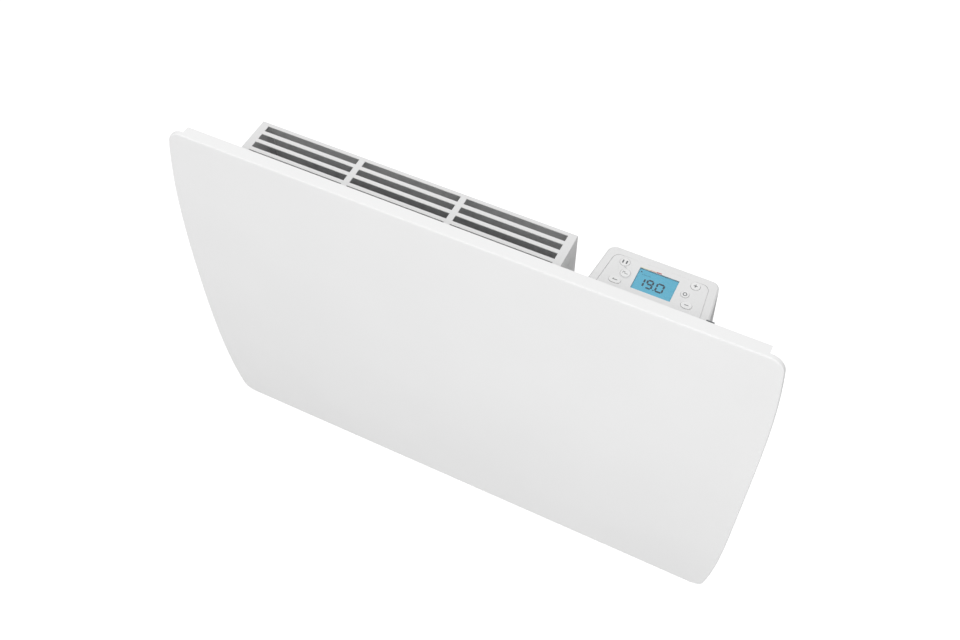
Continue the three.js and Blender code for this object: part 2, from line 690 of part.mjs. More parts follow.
function elementEnds() {
  const bushRadius = ROD_RADIUS + FIT + BUSH_WALL;
  return Object.entries(SIDES).flatMap(([name, side]) => {
    const x = CHAMBER_X + side * (ELEMENT_LENGTH / 2 + HANGER_OFFSET);
    const zRange = [ELEMENT_Z - HANGER_HEIGHT / 2, ELEMENT_Z + HANGER_HEIGHT / 2];
    const sheetX = side > 0 ? [x, x + HANGER_SHEET] : [x - HANGER_SHEET, x];
    const plate = block(sheetX, [INNER_FRONT_Y + FIN_THICKNESS + 8, INNER_BACK_Y], zRange);
    const lip = block([x - side * LIP, x], [INNER_BACK_Y - HANGER_SHEET, INNER_BACK_Y], zRange);
    const eye = pin('x', bushRadius + FIT, [-10, 10], [x, MID_Y, ELEMENT_Z], 16);
    const bushProfile = [
      [ROD_RADIUS + FIT, -1], [bushRadius, -1], [bushRadius, HANGER_SHEET + SEAT_GAP],
      [bushRadius + BUSH_FLANGE, HANGER_SHEET + SEAT_GAP],
      [bushRadius + BUSH_FLANGE, HANGER_SHEET + SEAT_GAP + BUSH_FLANGE],
      [ROD_RADIUS + FIT, HANGER_SHEET + SEAT_GAP + BUSH_FLANGE], [ROD_RADIUS + FIT, -1],
    ].map(([radius, along]) => [radius, along * side]);
    const rodEnd = CHAMBER_X + side * ROD_LENGTH / 2;
    const studProfile = [
      [0, 0], [ROD_RADIUS, 0], [ROD_RADIUS, STUD_WASHER], [STUD_RADIUS, STUD_WASHER],
      [STUD_RADIUS, STUD_LENGTH], [0, STUD_LENGTH],
    ].map(([radius, along]) => [radius, along * side]);
    return [
      piece(`element_bracket_${name}`, cut(join(plate, lip), eye), galvanised()),
      piece(`element_bush_${name}`, turned(bushProfile, 'x', [x, MID_Y, ELEMENT_Z]), ceramic()),
      piece(`element_terminal_${name}`, turned(studProfile, 'x', [rodEnd, MID_Y, ELEMENT_Z], 12), steel()),
    ];
  });
}

function thermalCutout() {
  const seat = INNER_BACK_Y - SEAT_GAP;
  const profile = [
    [0, 0], [CUTOUT_FLANGE, 0], [CUTOUT_FLANGE, -1], [CUTOUT_RADIUS, -1],
    [CUTOUT_RADIUS, -CUTOUT_HEIGHT], [0, -CUTOUT_HEIGHT],
  ];
  const body = turned(profile, 'y', [CUTOUT_X, seat, CUTOUT_Z]);
  const [width, thickness, length] = BLADE;
  const blades = Object.values(SIDES).map((side) => {
    const x = CUTOUT_X + side * CUTOUT_RADIUS / 2;
    return block([x - thickness / 2, x + thickness / 2],
      [seat - CUTOUT_HEIGHT - length, seat - CUTOUT_HEIGHT + 1],
      [CUTOUT_Z - width / 2, CUTOUT_Z + width / 2]);
  });
  return piece('thermal_cutout', join(body, ...blades), blackPlastic());
}

// ---------------------------------------------------------------- control box

// the control box seen from above, drawn in by an inset; its back corners are round
function controlOutline(inset) {
  const back = CONTROL_BACK_Y - inset;
  const front = CONTROL_FRONT_Y + inset;
  const flare = (CONTROL_FRONT_WIDTH - CONTROL_BACK_WIDTH) / 2 / (CONTROL_BACK_Y - CONTROL_FRONT_Y);
  const halfAt = (y) => CONTROL_BACK_WIDTH / 2 + flare * (CONTROL_BACK_Y - y) - inset;
  const radius = CONTROL_CORNER - inset;
  const points = [[CONTROL_X - halfAt(front), front], [CONTROL_X + halfAt(front), front]];
  const steps = 6;
  for (const side of [1, -1]) {
    for (let i = 0; i <= steps; i += 1) {
      const angle = side > 0 ? Math.PI / 2 * i / steps : Math.PI / 2 * (1 + i / steps);
      const centreX = CONTROL_X + side * (halfAt(back - radius) - radius);
      points.push([centreX + radius * Math.cos(angle), back - radius + radius * Math.sin(angle)]);
    }
  }
  return points;
}

function ovalPoints([x, y, width, depth], grow, steps = 8) {
  const radius = depth / 2 + grow;
  const run = (width - depth) / 2;
  const points = [];
  for (const side of [1, -1]) {
    for (let i = 0; i <= steps; i += 1) {
      const angle = side * Math.PI / 2 * (2 * i / steps - 1) + (side > 0 ? 0 : Math.PI);
      points.push([x + side * run + radius * Math.cos(angle), y + radius * Math.sin(angle) * side]);
    }
  }
  return points;
}

// an outline's points anticlockwise, each once
function tidyLoop(points) {
  const loop = points.filter(([x, y], i) => {
    const [nextX, nextY] = points[(i + 1) % points.length];
    return Math.hypot(nextX - x, nextY - y) > 1e-6;
  });
  return THREE.ShapeUtils.isClockWise(loop.map(([x, y]) => new THREE.Vector2(x, y))) ? loop.reverse() : loop;
}

function buttonShape(place, grow) {
  const [offset, y, width, depth] = place;
  return shapeOf(tidyLoop(ovalPoints([CONTROL_X + offset, y, width, depth], grow)));
}

function centredRectangle([width, depth], grow) {
  return rectangle([CONTROL_X - width / 2 - grow, CONTROL_X + width / 2 + grow],
    [LCD_Y - depth / 2 - grow, LCD_Y + depth / 2 + grow]);
}

function controlCover() {
  const face = prismZ(shapeOf(tidyLoop(controlOutline(0))), [COVER_UNDER_Z, GRILLE_TOP_Z]);
  const through = [COVER_UNDER_Z - 1, GRILLE_TOP_Z + 1];
  const holes = Object.values(BUTTON_PLACES).map((place) => prismZ(buttonShape(place, FIT), through));
  holes.push(prismZ(shapeOf(centredRectangle(LCD_SIZE, 0)), through));
  return piece('control_cover', cut(face, ...holes), whitePlastic());
}

function controlHousing() {
  const floor = BAY_TOP_Z + CONTROL_WALL;
  const outer = prismZ(shapeOf(tidyLoop(controlOutline(0))), [BAY_TOP_Z, COVER_UNDER_Z]);
  const hollow = prismZ(shapeOf(tidyLoop(controlOutline(CONTROL_WALL))), [floor, COVER_UNDER_Z + 1]);
  const ledgeTop = BOARD_TOP_Z - BOARD_THICKNESS - SEAT_GAP;
  const ledges = Object.values(SIDES).map((side) => {
    const x = CONTROL_X + side * (CONTROL_BACK_WIDTH / 2 - CONTROL_WALL);
    return block([x - LEDGE, x + LEDGE], [MID_Y - 10, MID_Y + 10], [ledgeTop - LEDGE, ledgeTop]);
  }).map((ledge) => ledge.intersect(outer));
  const legs = snapLegs(0, [BAY_TOP_Z - SNAP_LEG[2], floor]);
  const shell = join(cut(outer, hollow), ...ledges, ...legs);
  const opening = cableOpening([BAY_TOP_Z - 1, floor + 1]);
  return piece('control_housing', cut(shell, opening), whitePlastic());
}

function lcdParts() {
  const glassTop = GRILLE_TOP_Z - WINDOW_RECESS - WINDOW_THICKNESS - SEAT_GAP;
  const frame = prismZ(shapeOf(centredRectangle(LCD_SIZE, LCD_FRAME)), [BOARD_TOP_Z + SEAT_GAP, MODULE_TOP_Z]);
  const glass = prismZ(shapeOf(centredRectangle(LCD_SIZE, -FIT)), [MODULE_TOP_Z - 1, glassTop]);
  const pane = [GRILLE_TOP_Z - WINDOW_RECESS - WINDOW_THICKNESS, GRILLE_TOP_Z - WINDOW_RECESS];
  const window = prismZ(shapeOf(centredRectangle(LCD_SIZE, -FIT)), pane);
  return [
    piece('lcd_module', join(frame, glass), screenBlue()),
    piece('lcd_window', window, clear()),
  ];
}

function controlBoard() {
  const inset = CONTROL_WALL + BOARD_MARGIN;
  const board = prismZ(shapeOf(tidyLoop(controlOutline(inset))), [BOARD_TOP_Z - BOARD_THICKNESS, BOARD_TOP_Z]);
  const keys = Object.values(BUTTON_PLACES).map(([offset, y]) => {
    const x = CONTROL_X + offset;
    const half = KEY_SWITCH / 2;
    return block([x - half, x + half], [y - half, y + half], [BOARD_TOP_Z - 1, KEY_TOP_Z]);
  });
  return piece('control_board', join(board, ...keys), boardGreen());
}

function buttons() {
  return Object.entries(BUTTON_PLACES).map(([name, place]) => {
    const cap = prismZ(buttonShape(place, 0), [BUTTON_FOOT_Z, GRILLE_TOP_Z + BUTTON_PROUD]);
    const collarTop = COVER_UNDER_Z - SEAT_GAP;
    const collar = prismZ(buttonShape(place, BUTTON_COLLAR), [collarTop - BUTTON_COLLAR, collarTop]);
    return piece(name, join(cap, collar), whitePlastic());
  });
}

// ---------------------------------------------------------------- mains switch and bay

function mainsSwitch() {
  const [bodyY, bodyZ, bodyX] = SWITCH_BODY;
  const [bezelY, bezelZ, bezelX] = SWITCH_BEZEL;
  const [pocketY, pocketZ, pocketX] = SWITCH_POCKET;
  const face = CASING_HALF + bezelX;
  const around = (half) => [MID_Y - half, MID_Y + half];
  const level = (half) => [SWITCH_Z - half, SWITCH_Z + half];
  const body = block([face - bodyX, face], around(bodyY / 2), level(bodyZ / 2));
  const bezel = block([CASING_HALF, face], around(bezelY / 2), level(bezelZ / 2));
  const pocket = block([face - pocketX, face + 1], around(pocketY / 2), level(pocketZ / 2));
  const pivotX = face - ROCKER_PIN - 1;
  const holes = pin('y', ROCKER_PIN + FIT, around(bodyY / 2 + 5), [pivotX, 0, SWITCH_Z], 12);
  return piece('mains_switch', cut(join(body, bezel), pocket, holes), blackPlastic());
}

function mainsRocker() {
  const [pocketY, pocketZ] = SWITCH_POCKET;
  const pivotX = CASING_HALF + SWITCH_BEZEL[2] - ROCKER_PIN - 1;
  const halfZ = pocketZ / 2 - FIT * 2;
  const outline = [
    [-4, -halfZ * 0.82], [2.4, -halfZ], [1.2, 0], [2.4, halfZ], [-4, halfZ * 0.82],
  ];
  const halfY = pocketY / 2 - FIT;
  const cap = prismY(shapeOf(outline), [-halfY, halfY]);
  const trunnions = pin('y', ROCKER_PIN, [-halfY - 1.2, halfY + 1.2], [0, 0, 0], 12);
  const rocker = piece('mains_rocker', join(cap, trunnions), blackPlastic());
  rocker.rotation.y = THREE.MathUtils.degToRad(ROCKER_TILT);
  rocker.position.set(pivotX, MID_Y, SWITCH_Z);
  return rocker;
}

function terminalBlock() {
  const [width, depth, height] = BLOCK_SIZE;
  const back = INNER_BACK_Y - SEAT_GAP;
  const body = block([BLOCK_X - width / 2, BLOCK_X + width / 2], [back - depth, back],
    [BLOCK_Z - height / 2, BLOCK_Z + height / 2]);
  const wells = [-1, 0, 1].map((i) => {
    const x = BLOCK_X + i * width / 3;
    return pin('y', BLOCK_WELL[0], [back - depth - 1, back - depth + BLOCK_WELL[1]], [x, 0, BLOCK_Z], 12);
  });
  return piece('terminal_block', cut(body, ...wells), whitePlastic());
}

function powerBoard() {
  const [width, height] = POWER_BOARD_SIZE;
  const back = INNER_BACK_Y - SEAT_GAP;
  const boardY = [back - POWER_BOARD_POST - BOARD_THICKNESS, back - POWER_BOARD_POST];
  const at = (x, z) => [POWER_BOARD_X + x * width / 2, POWER_BOARD_Z + z * height / 2];
  const board = block([POWER_BOARD_X - width / 2, POWER_BOARD_X + width / 2], boardY,
    [POWER_BOARD_Z - height / 2, POWER_BOARD_Z + height / 2]);
  const posts = [[-1, -1], [1, -1], [-1, 1], [1, 1]].map(([i, j]) => {
    const [x, z] = at(i * 0.9, j * 0.92);
    return pin('y', POST_RADIUS, [boardY[1] - BOARD_THICKNESS / 2, back], [x, 0, z], 8);
  });
  const parts = [
    [-0.5, 0.5, 0.28, 0.25, 0.16], [0.35, 0.55, 0.26, 0.15, 0.2],
    [0.3, -0.1, 0.4, 0.1, 0.24], [-0.5, -0.4, 0.18, 0.28, 0.12],
  ].map(([i, j, shareX, shareZ, tall]) => {
    const [x, z] = at(i, j);
    const halfX = shareX * width / 2;
    const halfZ = shareZ * height / 2;
    return block([x - halfX, x + halfX], [boardY[0] - tall * width, boardY[0] + BOARD_THICKNESS / 2],
      [z - halfZ, z + halfZ]);
  });
  return piece('power_board', join(board, ...posts, ...parts), boardGreen());
}

function cableGland() {
  const bottom = CASING_BOTTOM_Z;
  const foot = bottom - GLAND_REACH;
  const top = bottom + GLAND_REACH;
  const [chamfer, chamferHeight] = GLAND_CHAMFER;
  const profile = [
    [GLAND_BORE, foot], [GLAND_FLANGE - chamfer, foot], [GLAND_FLANGE, foot + chamferHeight],
    [GLAND_FLANGE, bottom], [GLAND_BODY, bottom], [GLAND_BODY, top], [GLAND_BORE, top], [GLAND_BORE, foot],
  ];
  return piece('cable_gland', turned(profile, 'z', [GLAND_X, MID_Y, 0], 24), blackPlastic());
}

function roomSensor() {
  const bottom = CASING_BOTTOM_Z;
  const tip = bottom - SENSOR_REACH;
  const [collar, collarHeight] = SENSOR_COLLAR;
  const probe = SENSOR_TIP + 1;
  const profile = [
    [0, tip], [SENSOR_TIP, tip], [probe, tip + 2], [probe, bottom - collarHeight],
    [collar, bottom - collarHeight], [collar, bottom], [SENSOR_RADIUS, bottom],
    [SENSOR_RADIUS, FLOOR_Z + 4], [0, FLOOR_Z + 4],
  ];
  return piece('room_sensor', turned(profile, 'z', [SENSOR_X, MID_Y, 0]), whitePlastic());
}

// ---------------------------------------------------------------- leads

function lead(points, steps) {
  const path = new THREE.CatmullRomCurve3(points.map((point) => new THREE.Vector3(...point)), false, 'centripetal');
  const section = new THREE.Shape();
  section.absarc(0, 0, LEAD_RADIUS, 0, Math.PI * 2);
  return solid(new THREE.ExtrudeGeometry(section, { steps, extrudePath: path, curveSegments: 3 }));
}

function leads() {
  const blockTop = BLOCK_Z + BLOCK_SIZE[2] / 2 + SEAT_GAP;
  const blockY = INNER_BACK_Y - SEAT_GAP - BLOCK_SIZE[1] / 2;
  const studZ = ELEMENT_Z - STUD_RADIUS - SEAT_GAP;
  const studX = ROD_LENGTH / 2 + (STUD_LENGTH + STUD_WASHER) / 2;
  const [shortZ, longZ] = LEAD_DROP.map((drop) => ELEMENT_Z - drop);
  const liveX = BLOCK_X - BLOCK_SIZE[0] / 3;
  const rightX = CHAMBER_X + studX;
  const leftX = CHAMBER_X - studX;
  const sag = ELEMENT_LENGTH * 0.29;
  const live = lead([
    [liveX, blockY, blockTop], [liveX, blockY, blockTop + 8], [liveX - 22, blockY - 4, shortZ + 4],
    [CHIMNEY_X + 30, MID_Y, shortZ], [CHIMNEY_X - 1, MID_Y, shortZ], [rightX, MID_Y, shortZ + 8],
    [rightX, MID_Y, studZ - 6], [rightX, MID_Y, studZ],
  ], 20);
  const neutral = lead([
    [BLOCK_X, blockY, blockTop], [BLOCK_X, blockY, blockTop + 7], [BLOCK_X - 20, blockY - 14, blockTop + 6],
    [BLOCK_X - 44, MID_Y, longZ + 3], [CHIMNEY_X + 25, MID_Y, longZ], [CHIMNEY_X, MID_Y, longZ],
    [CHAMBER_X + sag, MID_Y, longZ + 1], [CHAMBER_X, MID_Y, longZ], [CHAMBER_X - sag, MID_Y, longZ + 1],
    [leftX + 20, MID_Y, longZ + 2], [leftX, MID_Y, longZ + 14], [leftX, MID_Y, studZ - 8],
    [leftX, MID_Y, studZ],
  ], 34);
  return [piece('lead_live', live, leadRed()), piece('lead_neutral', neutral, leadBlue())];
}

// ---------------------------------------------------------------- wall bracket and latches

function railFlangeOutline() {
  const saddle = [INNER_BACK_Y - SADDLE_CLEARANCE, CASING_BACK_Y + SADDLE_CLEARANCE];
  const tipZ = HOOK_Z + HOOK_TIP;
  const pad = CASING_BACK_Y + SEAT_GAP;
  return shapeOf([
    [-BRACKET_SHEET, RAIL_Z[0]], [-BRACKET_SHEET, RAIL_Z[1]], [-RAIL_DEPTH, RAIL_Z[1]],
    [-RAIL_DEPTH, REST_PAD_Z[1]], [pad, REST_PAD_Z[1] - 3], [pad, REST_PAD_Z[0] + 3],
    [-RAIL_DEPTH, REST_PAD_Z[0]], [-RAIL_DEPTH, tipZ], [saddle[1], tipZ], [saddle[1], HOOK_Z],
    [saddle[0], HOOK_Z], [saddle[0], tipZ], [-HOOK_REACH, tipZ - 2], [-HOOK_REACH, tipZ - HOOK_HEIGHT],
    [-RAIL_DEPTH, tipZ - HOOK_HEIGHT], [-RAIL_DEPTH, RAIL_Z[0]],
  ]);
}

function rails() {
  return Object.entries(SIDES).map(([name, side]) => {
    const flange = prismX(railFlangeOutline(), mirrored([RAIL_X, RAIL_X + BRACKET_SHEET], side));
    const web = block(mirrored([RAIL_X + BRACKET_SHEET - RAIL_WEB, RAIL_X + BRACKET_SHEET], side),
      [-2 * BRACKET_SHEET, -BRACKET_SHEET], RAIL_Z);
    const hole = pin('x', LATCH_PIN_RADIUS + FIT, [-5, 5], [side * RAIL_X, latchPinY(), LATCH_PIN_Z], 12);
    return piece(`bracket_rail_${name}`, cut(join(flange, web), hole), galvanised());
  });
}

function bars() {
  const half = RAIL_X + BRACKET_SHEET;
  return Object.entries(BAR_Z).map(([name, z]) => {
    const strip = block([-half, half], [-BRACKET_SHEET, 0], [z - BAR_HEIGHT / 2, z + BAR_HEIGHT / 2]);
    const holes = name === 'middle' ? [] : Object.values(SIDES).map((side) =>
      pin('y', WALL_HOLE_RADIUS, [-5, 5], [side * WALL_HOLE_X, 0, z]));
    return piece(`bracket_bar_${name}`, cut(strip, ...holes), galvanised());
  });
}

function latchPinY() {
  return (LATCH_Y[0] + LATCH_Y[1]) / 2;
}

function latches() {
  const inner = RAIL_X + BRACKET_SHEET + FIT;
  const outer = inner + LATCH_WIDTH;
  return Object.entries(SIDES).flatMap(([name, side]) => {
    const xRange = mirrored([inner, outer], side);
    const body = block(xRange, LATCH_Y, [LATCH_Z, LATCH_Z + LATCH_HEIGHT]);
    const bolt = block(xRange, [-BOLT_REACH, LATCH_Y[0] + 1], [BOLT_Z, BOLT_Z + BOLT_HEIGHT]);
    const tip = block(xRange, [-BOLT_REACH, -BOLT_REACH + BOLT_TIP[0]],
      [BOLT_Z, BOLT_Z + BOLT_HEIGHT + BOLT_TIP[1]]);
    const slotHalf = LATCH_PIN_RADIUS + FIT;
    const y = latchPinY();
    const slot = block(mirrored([inner - 1, outer + 1], side), [y - slotHalf, y + slotHalf],
      [LATCH_PIN_Z - slotHalf, LATCH_PIN_Z + LATCH_TRAVEL + slotHalf]);
    const flangeX = RAIL_X;
    const profile = [
      [0, flangeX - 2], [LATCH_PIN_HEAD - 1, flangeX - 2], [LATCH_PIN_HEAD - 1, flangeX - FIT],
      [LATCH_PIN_RADIUS, flangeX - FIT], [LATCH_PIN_RADIUS, outer + FIT], [LATCH_PIN_HEAD, outer + FIT],
      [LATCH_PIN_HEAD, outer + 2], [0, outer + 2],
    ].map(([radius, along]) => [radius, along * side]);
    return [
      piece(`latch_${name}`, cut(join(body, bolt, tip), slot), greyPlastic()),
      piece(`latch_pin_${name}`, turned(profile, 'x', [0, y, LATCH_PIN_Z], 12), steel()),
    ];
  });
}

// ---------------------------------------------------------------- assembly

const heater = new THREE.Group();
heater.add(
  ...rails(), ...bars(), ...latches(),
  rearPanel(), frontShield(), ...sidePanels(), bayPartition(), outletGrille(), inletGrille(),
  bayFloor(), bayTop(), ...wallSpacers(),
  frontPanel(), ...panelLayers(), ...panelBrackets(),
  elementFins(), elementRod(), ...elementEnds(), thermalCutout(),
  controlHousing(), controlCover(), ...lcdParts(), controlBoard(), ...buttons(),
  mainsSwitch(), mainsRocker(), roomSensor(), terminalBlock(), cableGland(), powerBoard(), ...leads(),
);

export default heater;
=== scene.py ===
"""Looks for a wall panel convector heater: smooth sheet metal, moulded controls, studio light.

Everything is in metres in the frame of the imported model: X right as seen from the front,
Y back to the wall, Z up, with the origin on the wall behind the heater.
"""

import json
import math

import bmesh
import bpy
from mathutils import Matrix, Vector


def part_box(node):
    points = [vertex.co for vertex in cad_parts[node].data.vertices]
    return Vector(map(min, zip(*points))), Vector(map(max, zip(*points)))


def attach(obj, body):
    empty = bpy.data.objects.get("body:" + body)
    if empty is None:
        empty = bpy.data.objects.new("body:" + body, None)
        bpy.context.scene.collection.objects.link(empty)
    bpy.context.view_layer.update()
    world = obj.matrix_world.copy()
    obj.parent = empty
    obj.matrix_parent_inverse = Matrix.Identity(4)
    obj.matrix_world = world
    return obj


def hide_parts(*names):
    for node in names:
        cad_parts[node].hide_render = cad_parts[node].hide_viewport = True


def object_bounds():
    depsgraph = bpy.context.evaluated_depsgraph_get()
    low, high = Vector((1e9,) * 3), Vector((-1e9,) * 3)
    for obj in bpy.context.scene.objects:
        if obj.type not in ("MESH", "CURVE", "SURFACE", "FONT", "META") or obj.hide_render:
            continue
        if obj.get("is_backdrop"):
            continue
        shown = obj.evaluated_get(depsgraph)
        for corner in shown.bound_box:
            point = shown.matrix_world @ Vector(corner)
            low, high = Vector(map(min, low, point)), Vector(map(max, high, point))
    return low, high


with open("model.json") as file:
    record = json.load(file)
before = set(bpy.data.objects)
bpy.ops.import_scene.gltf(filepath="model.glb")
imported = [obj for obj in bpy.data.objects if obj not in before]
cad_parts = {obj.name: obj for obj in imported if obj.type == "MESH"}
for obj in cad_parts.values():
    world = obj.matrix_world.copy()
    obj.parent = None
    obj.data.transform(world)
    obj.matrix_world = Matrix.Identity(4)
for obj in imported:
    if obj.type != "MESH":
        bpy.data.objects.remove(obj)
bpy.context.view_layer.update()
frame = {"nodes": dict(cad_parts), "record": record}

MM = 0.001
ROOT = "heater"
SIDES = {"left": -1, "right": 1}

# ---------- sizes

# front panel
PANEL_BOW = 11.5 * MM  # the middle stands this far in front of the top and bottom edges
PANEL_SIDE_DROP = 11 * MM  # the sides draw in by this much at the corners
PANEL_CORNER = 17 * MM
PANEL_SHEET = 1.2 * MM
PANEL_RIM = 5.2 * MM
PANEL_FLANGE = 14 * MM
PANEL_FOLD = 1.6 * MM  # outer radius of the fold round the face
FLANGE_END = 1.2 * MM  # the flange stops this far before the corner begins
FLANGE_STEP = 0.1 * MM  # width of the flange's cut end
PANEL_COLUMNS = (0.0, 0.1, 0.2, 0.3, 0.4, 0.5, 0.6, 0.7, 0.8, 0.9, 0.97)
CORNER_STEPS = 12
SIDE_STEPS = 24
HEM = 0.45 * MM  # rounding of cut edges
HEM_CUT = 0.3 * HEM
EDGE_NEAR = 1e-6  # points this near the edge are on it

# camera, solved from the photograph
CAMERA_AT = Vector((0.33963, -0.71670, 1.07696))
CAMERA_FORWARD = Vector((-0.263506, 0.530400, -0.805755))
CAMERA_ROLL = math.radians(-0.2162)
CAMERA_LENS = 42.098
SENSOR = 36

MERGE = 1e-7  # points nearer than this are one point
FLAT_ANGLE = math.radians(0.5)  # faces that differ by less are one face
SOFT_ANGLE = math.radians(35)  # edges sharper than this are rounded
SOFT_EDGE = 0.25 * MM
CIRCLE_STEPS = 28
OVAL_STEPS = 32

# ---------- node materials


def srgb(red, green, blue):
    """Linear colour from 0 to 255 display values."""

    def linear(value):
        c = value / 255
        return c / 12.92 if c <= 0.04045 else ((c + 0.055) / 1.055) ** 2.4

    return (linear(red), linear(green), linear(blue), 1.0)


class Nodes:
    """A material's node tree with short ways to add the usual pieces."""

    def __init__(self, name):
        self.material = bpy.data.materials.new(name)
        self.material.use_nodes = True
        self.tree = self.material.node_tree
        self.shader = self.tree.nodes["Principled BSDF"]

    def add(self, kind, **values):
        node = self.tree.nodes.new(kind)
        for key, value in values.items():
            setattr(node, key, value)
        return node

    def link(self, source, target):
        self.tree.links.new(source, target)

    def set(self, **values):
        for key, value in values.items():
            self.shader.inputs[key.replace("_", " ")].default_value = value

    def place(self):
        return self.add("ShaderNodeTexCoord").outputs["Object"]

    def stretched(self, scale):
        mapping = self.add("ShaderNodeMapping")
        mapping.inputs["Scale"].default_value = scale
        self.link(self.place(), mapping.inputs["Vector"])
        return mapping.outputs["Vector"]

    def noise(self, scale, detail=3.0, vector=None):
        node = self.add("ShaderNodeTexNoise")
        node.inputs["Scale"].default_value = scale
        node.inputs["Detail"].default_value = detail
        self.link(vector or self.place(), node.inputs["Vector"])
        return node.outputs["Fac"]

    def ramp(self, factor, low, high, start=0.35, end=0.65):
        node = self.add("ShaderNodeMapRange")
        node.inputs["From Min"].default_value = start
        node.inputs["From Max"].default_value = end
        node.inputs["To Min"].default_value = low
        node.inputs["To Max"].default_value = high
        self.link(factor, node.inputs["Value"])
        return node.outputs["Result"]

    def blend(self, factor, first, second):
        node = self.add("ShaderNodeMix", data_type="RGBA")
        self.link(factor, node.inputs["Factor"])
        for value, socket in ((first, node.inputs["A"]), (second, node.inputs["B"])):
            if isinstance(value, tuple):
                socket.default_value = value
            else:
                self.link(value, socket)
        return node.outputs["Result"]

    def bump(self, height, strength, distance):
        node = self.add("ShaderNodeBump")
        node.inputs["Strength"].default_value = strength
        node.inputs["Distance"].default_value = distance
        self.link(height, node.inputs["Height"])
        self.link(node.outputs["Normal"], self.shader.inputs["Normal"])

    def colour(self, socket):
        self.link(socket, self.shader.inputs["Base Color"])

    def roughness(self, socket):
        self.link(socket, self.shader.inputs["Roughness"])


def shade(colour, amount):
    return tuple(c * amount for c in colour[:3]) + (1.0,)


def powder_coat(name, colour, roughness=0.42):
    """Satin powder coat: a fine orange peel with a slight drift in tone and gloss."""
    m = Nodes(name)
    drift = m.noise(7.0, 2.0)
    m.colour(m.blend(m.ramp(drift, 0.0, 1.0), shade(colour, 0.985), colour))
    m.roughness(m.ramp(m.noise(900.0, 2.0), roughness - 0.04, roughness + 0.05))
    m.bump(m.noise(1400.0, 2.0), 0.12, 0.05 * MM)
    m.set(Specular_IOR_Level=0.35)
    return m.material


def galvanised(name, colour, roughness=0.42):
    """Zinc-coated sheet with soft spangle and rolling lines."""
    m = Nodes(name)
    cells = m.add("ShaderNodeTexVoronoi")
    cells.inputs["Scale"].default_value = 110.0
    m.link(m.place(), cells.inputs["Vector"])
    far = cells.outputs["Distance"]
    spangle = m.blend(m.ramp(far, 0.0, 1.0, 0.0, 0.9), shade(colour, 0.86), colour)
    lines = m.noise(40.0, 4.0, m.stretched((1.0, 1.0, 30.0)))
    m.colour(m.blend(m.ramp(lines, 0.0, 0.35), spangle, shade(colour, 1.12)))
    m.roughness(m.ramp(far, roughness - 0.08, roughness + 0.1, 0.0, 0.9))
    m.set(Metallic=0.85)
    m.bump(lines, 0.08, 0.05 * MM)
    return m.material


def bare_metal(name, colour, roughness, grain=(1.0, 1.0, 1.0)):
    """Rolled or drawn metal with fine lines along one direction."""
    m = Nodes(name)
    lines = m.noise(600.0, 3.0, m.stretched(grain))
    m.colour(m.blend(m.ramp(lines, 0.0, 1.0), shade(colour, 0.88), colour))
    m.roughness(m.ramp(lines, roughness - 0.06, roughness + 0.1))
    m.set(Metallic=1.0)
    m.bump(lines, 0.1, 0.03 * MM)
    return m.material


def plastic(name, colour, roughness=0.5, grain=2200.0, relief=0.1):
    """Moulded plastic with a fine spark-eroded grain."""
    m = Nodes(name)
    drift = m.noise(25.0, 2.0)
    m.colour(m.blend(m.ramp(drift, 0.0, 1.0), shade(colour, 0.98), colour))
    m.roughness(m.ramp(m.noise(grain, 2.0), roughness - 0.05, roughness + 0.05))
    m.bump(m.noise(grain, 2.0), relief, 0.03 * MM)
    return m.material


def ink(name, colour, roughness=0.4):
    """Flat print or lit segments."""
    return plastic(name, colour, roughness, 3000.0, 0.02)


def fibre(name, colour):
    """Felted mineral wool."""
    m = Nodes(name)
    fibres = m.noise(500.0, 8.0, m.stretched((1.0, 4.0, 3.0)))
    m.colour(m.blend(m.ramp(fibres, 0.0, 1.0), shade(colour, 0.78), colour))
    m.set(Roughness=0.95)
    m.bump(fibres, 0.6, 0.6 * MM)
    return m.material


def lit_screen(name, colour):
    """Backlit liquid crystal: an even glow with a faint drift in tone."""
    m = Nodes(name)
    glow = m.noise(60.0, 1.0)
    tone = m.blend(m.ramp(glow, 0.0, 1.0), shade(colour, 0.96), colour)
    m.colour(tone)
    m.link(tone, m.shader.inputs["Emission Color"])
    m.set(Roughness=0.35, Emission_Strength=0.12)
    return m.material


def clear_window(name):
    """Thin clear acrylic."""
    m = Nodes(name)
    haze = m.noise(300.0, 2.0)
    m.colour(m.blend(m.ramp(haze, 0.0, 1.0), srgb(226, 238, 242), srgb(236, 244, 247)))
    m.roughness(m.ramp(haze, 0.05, 0.08))
    m.set(Alpha=0.02, Specular_IOR_Level=0.2)
    return m.material


WHITE_PANEL = powder_coat("panel_powder_coat", srgb(237, 237, 237))
# zinc sheet, made much darker than the bracket's zinc, partly as painted shade for the shaded gap
# beside the control box where the shield's edge shows; the weld rings use the same dark grey
SHADE_AND_WELD_GREY = galvanised("dark_zinc_and_painted_shade", srgb(126, 129, 132), 0.5)
SCREW_STEEL = bare_metal("zinc_plated_steel", srgb(190, 193, 195), 0.3)
ROD_STEEL = bare_metal("element_sheath", srgb(122, 114, 104), 0.4, (12.0, 1.0, 1.0))
CONTROL_PLASTIC = plastic("control_plastic", srgb(226, 226, 226), 0.48)
BUTTON_PLASTIC = plastic("button_plastic", srgb(231, 231, 231), 0.45, 3000.0, 0.05)
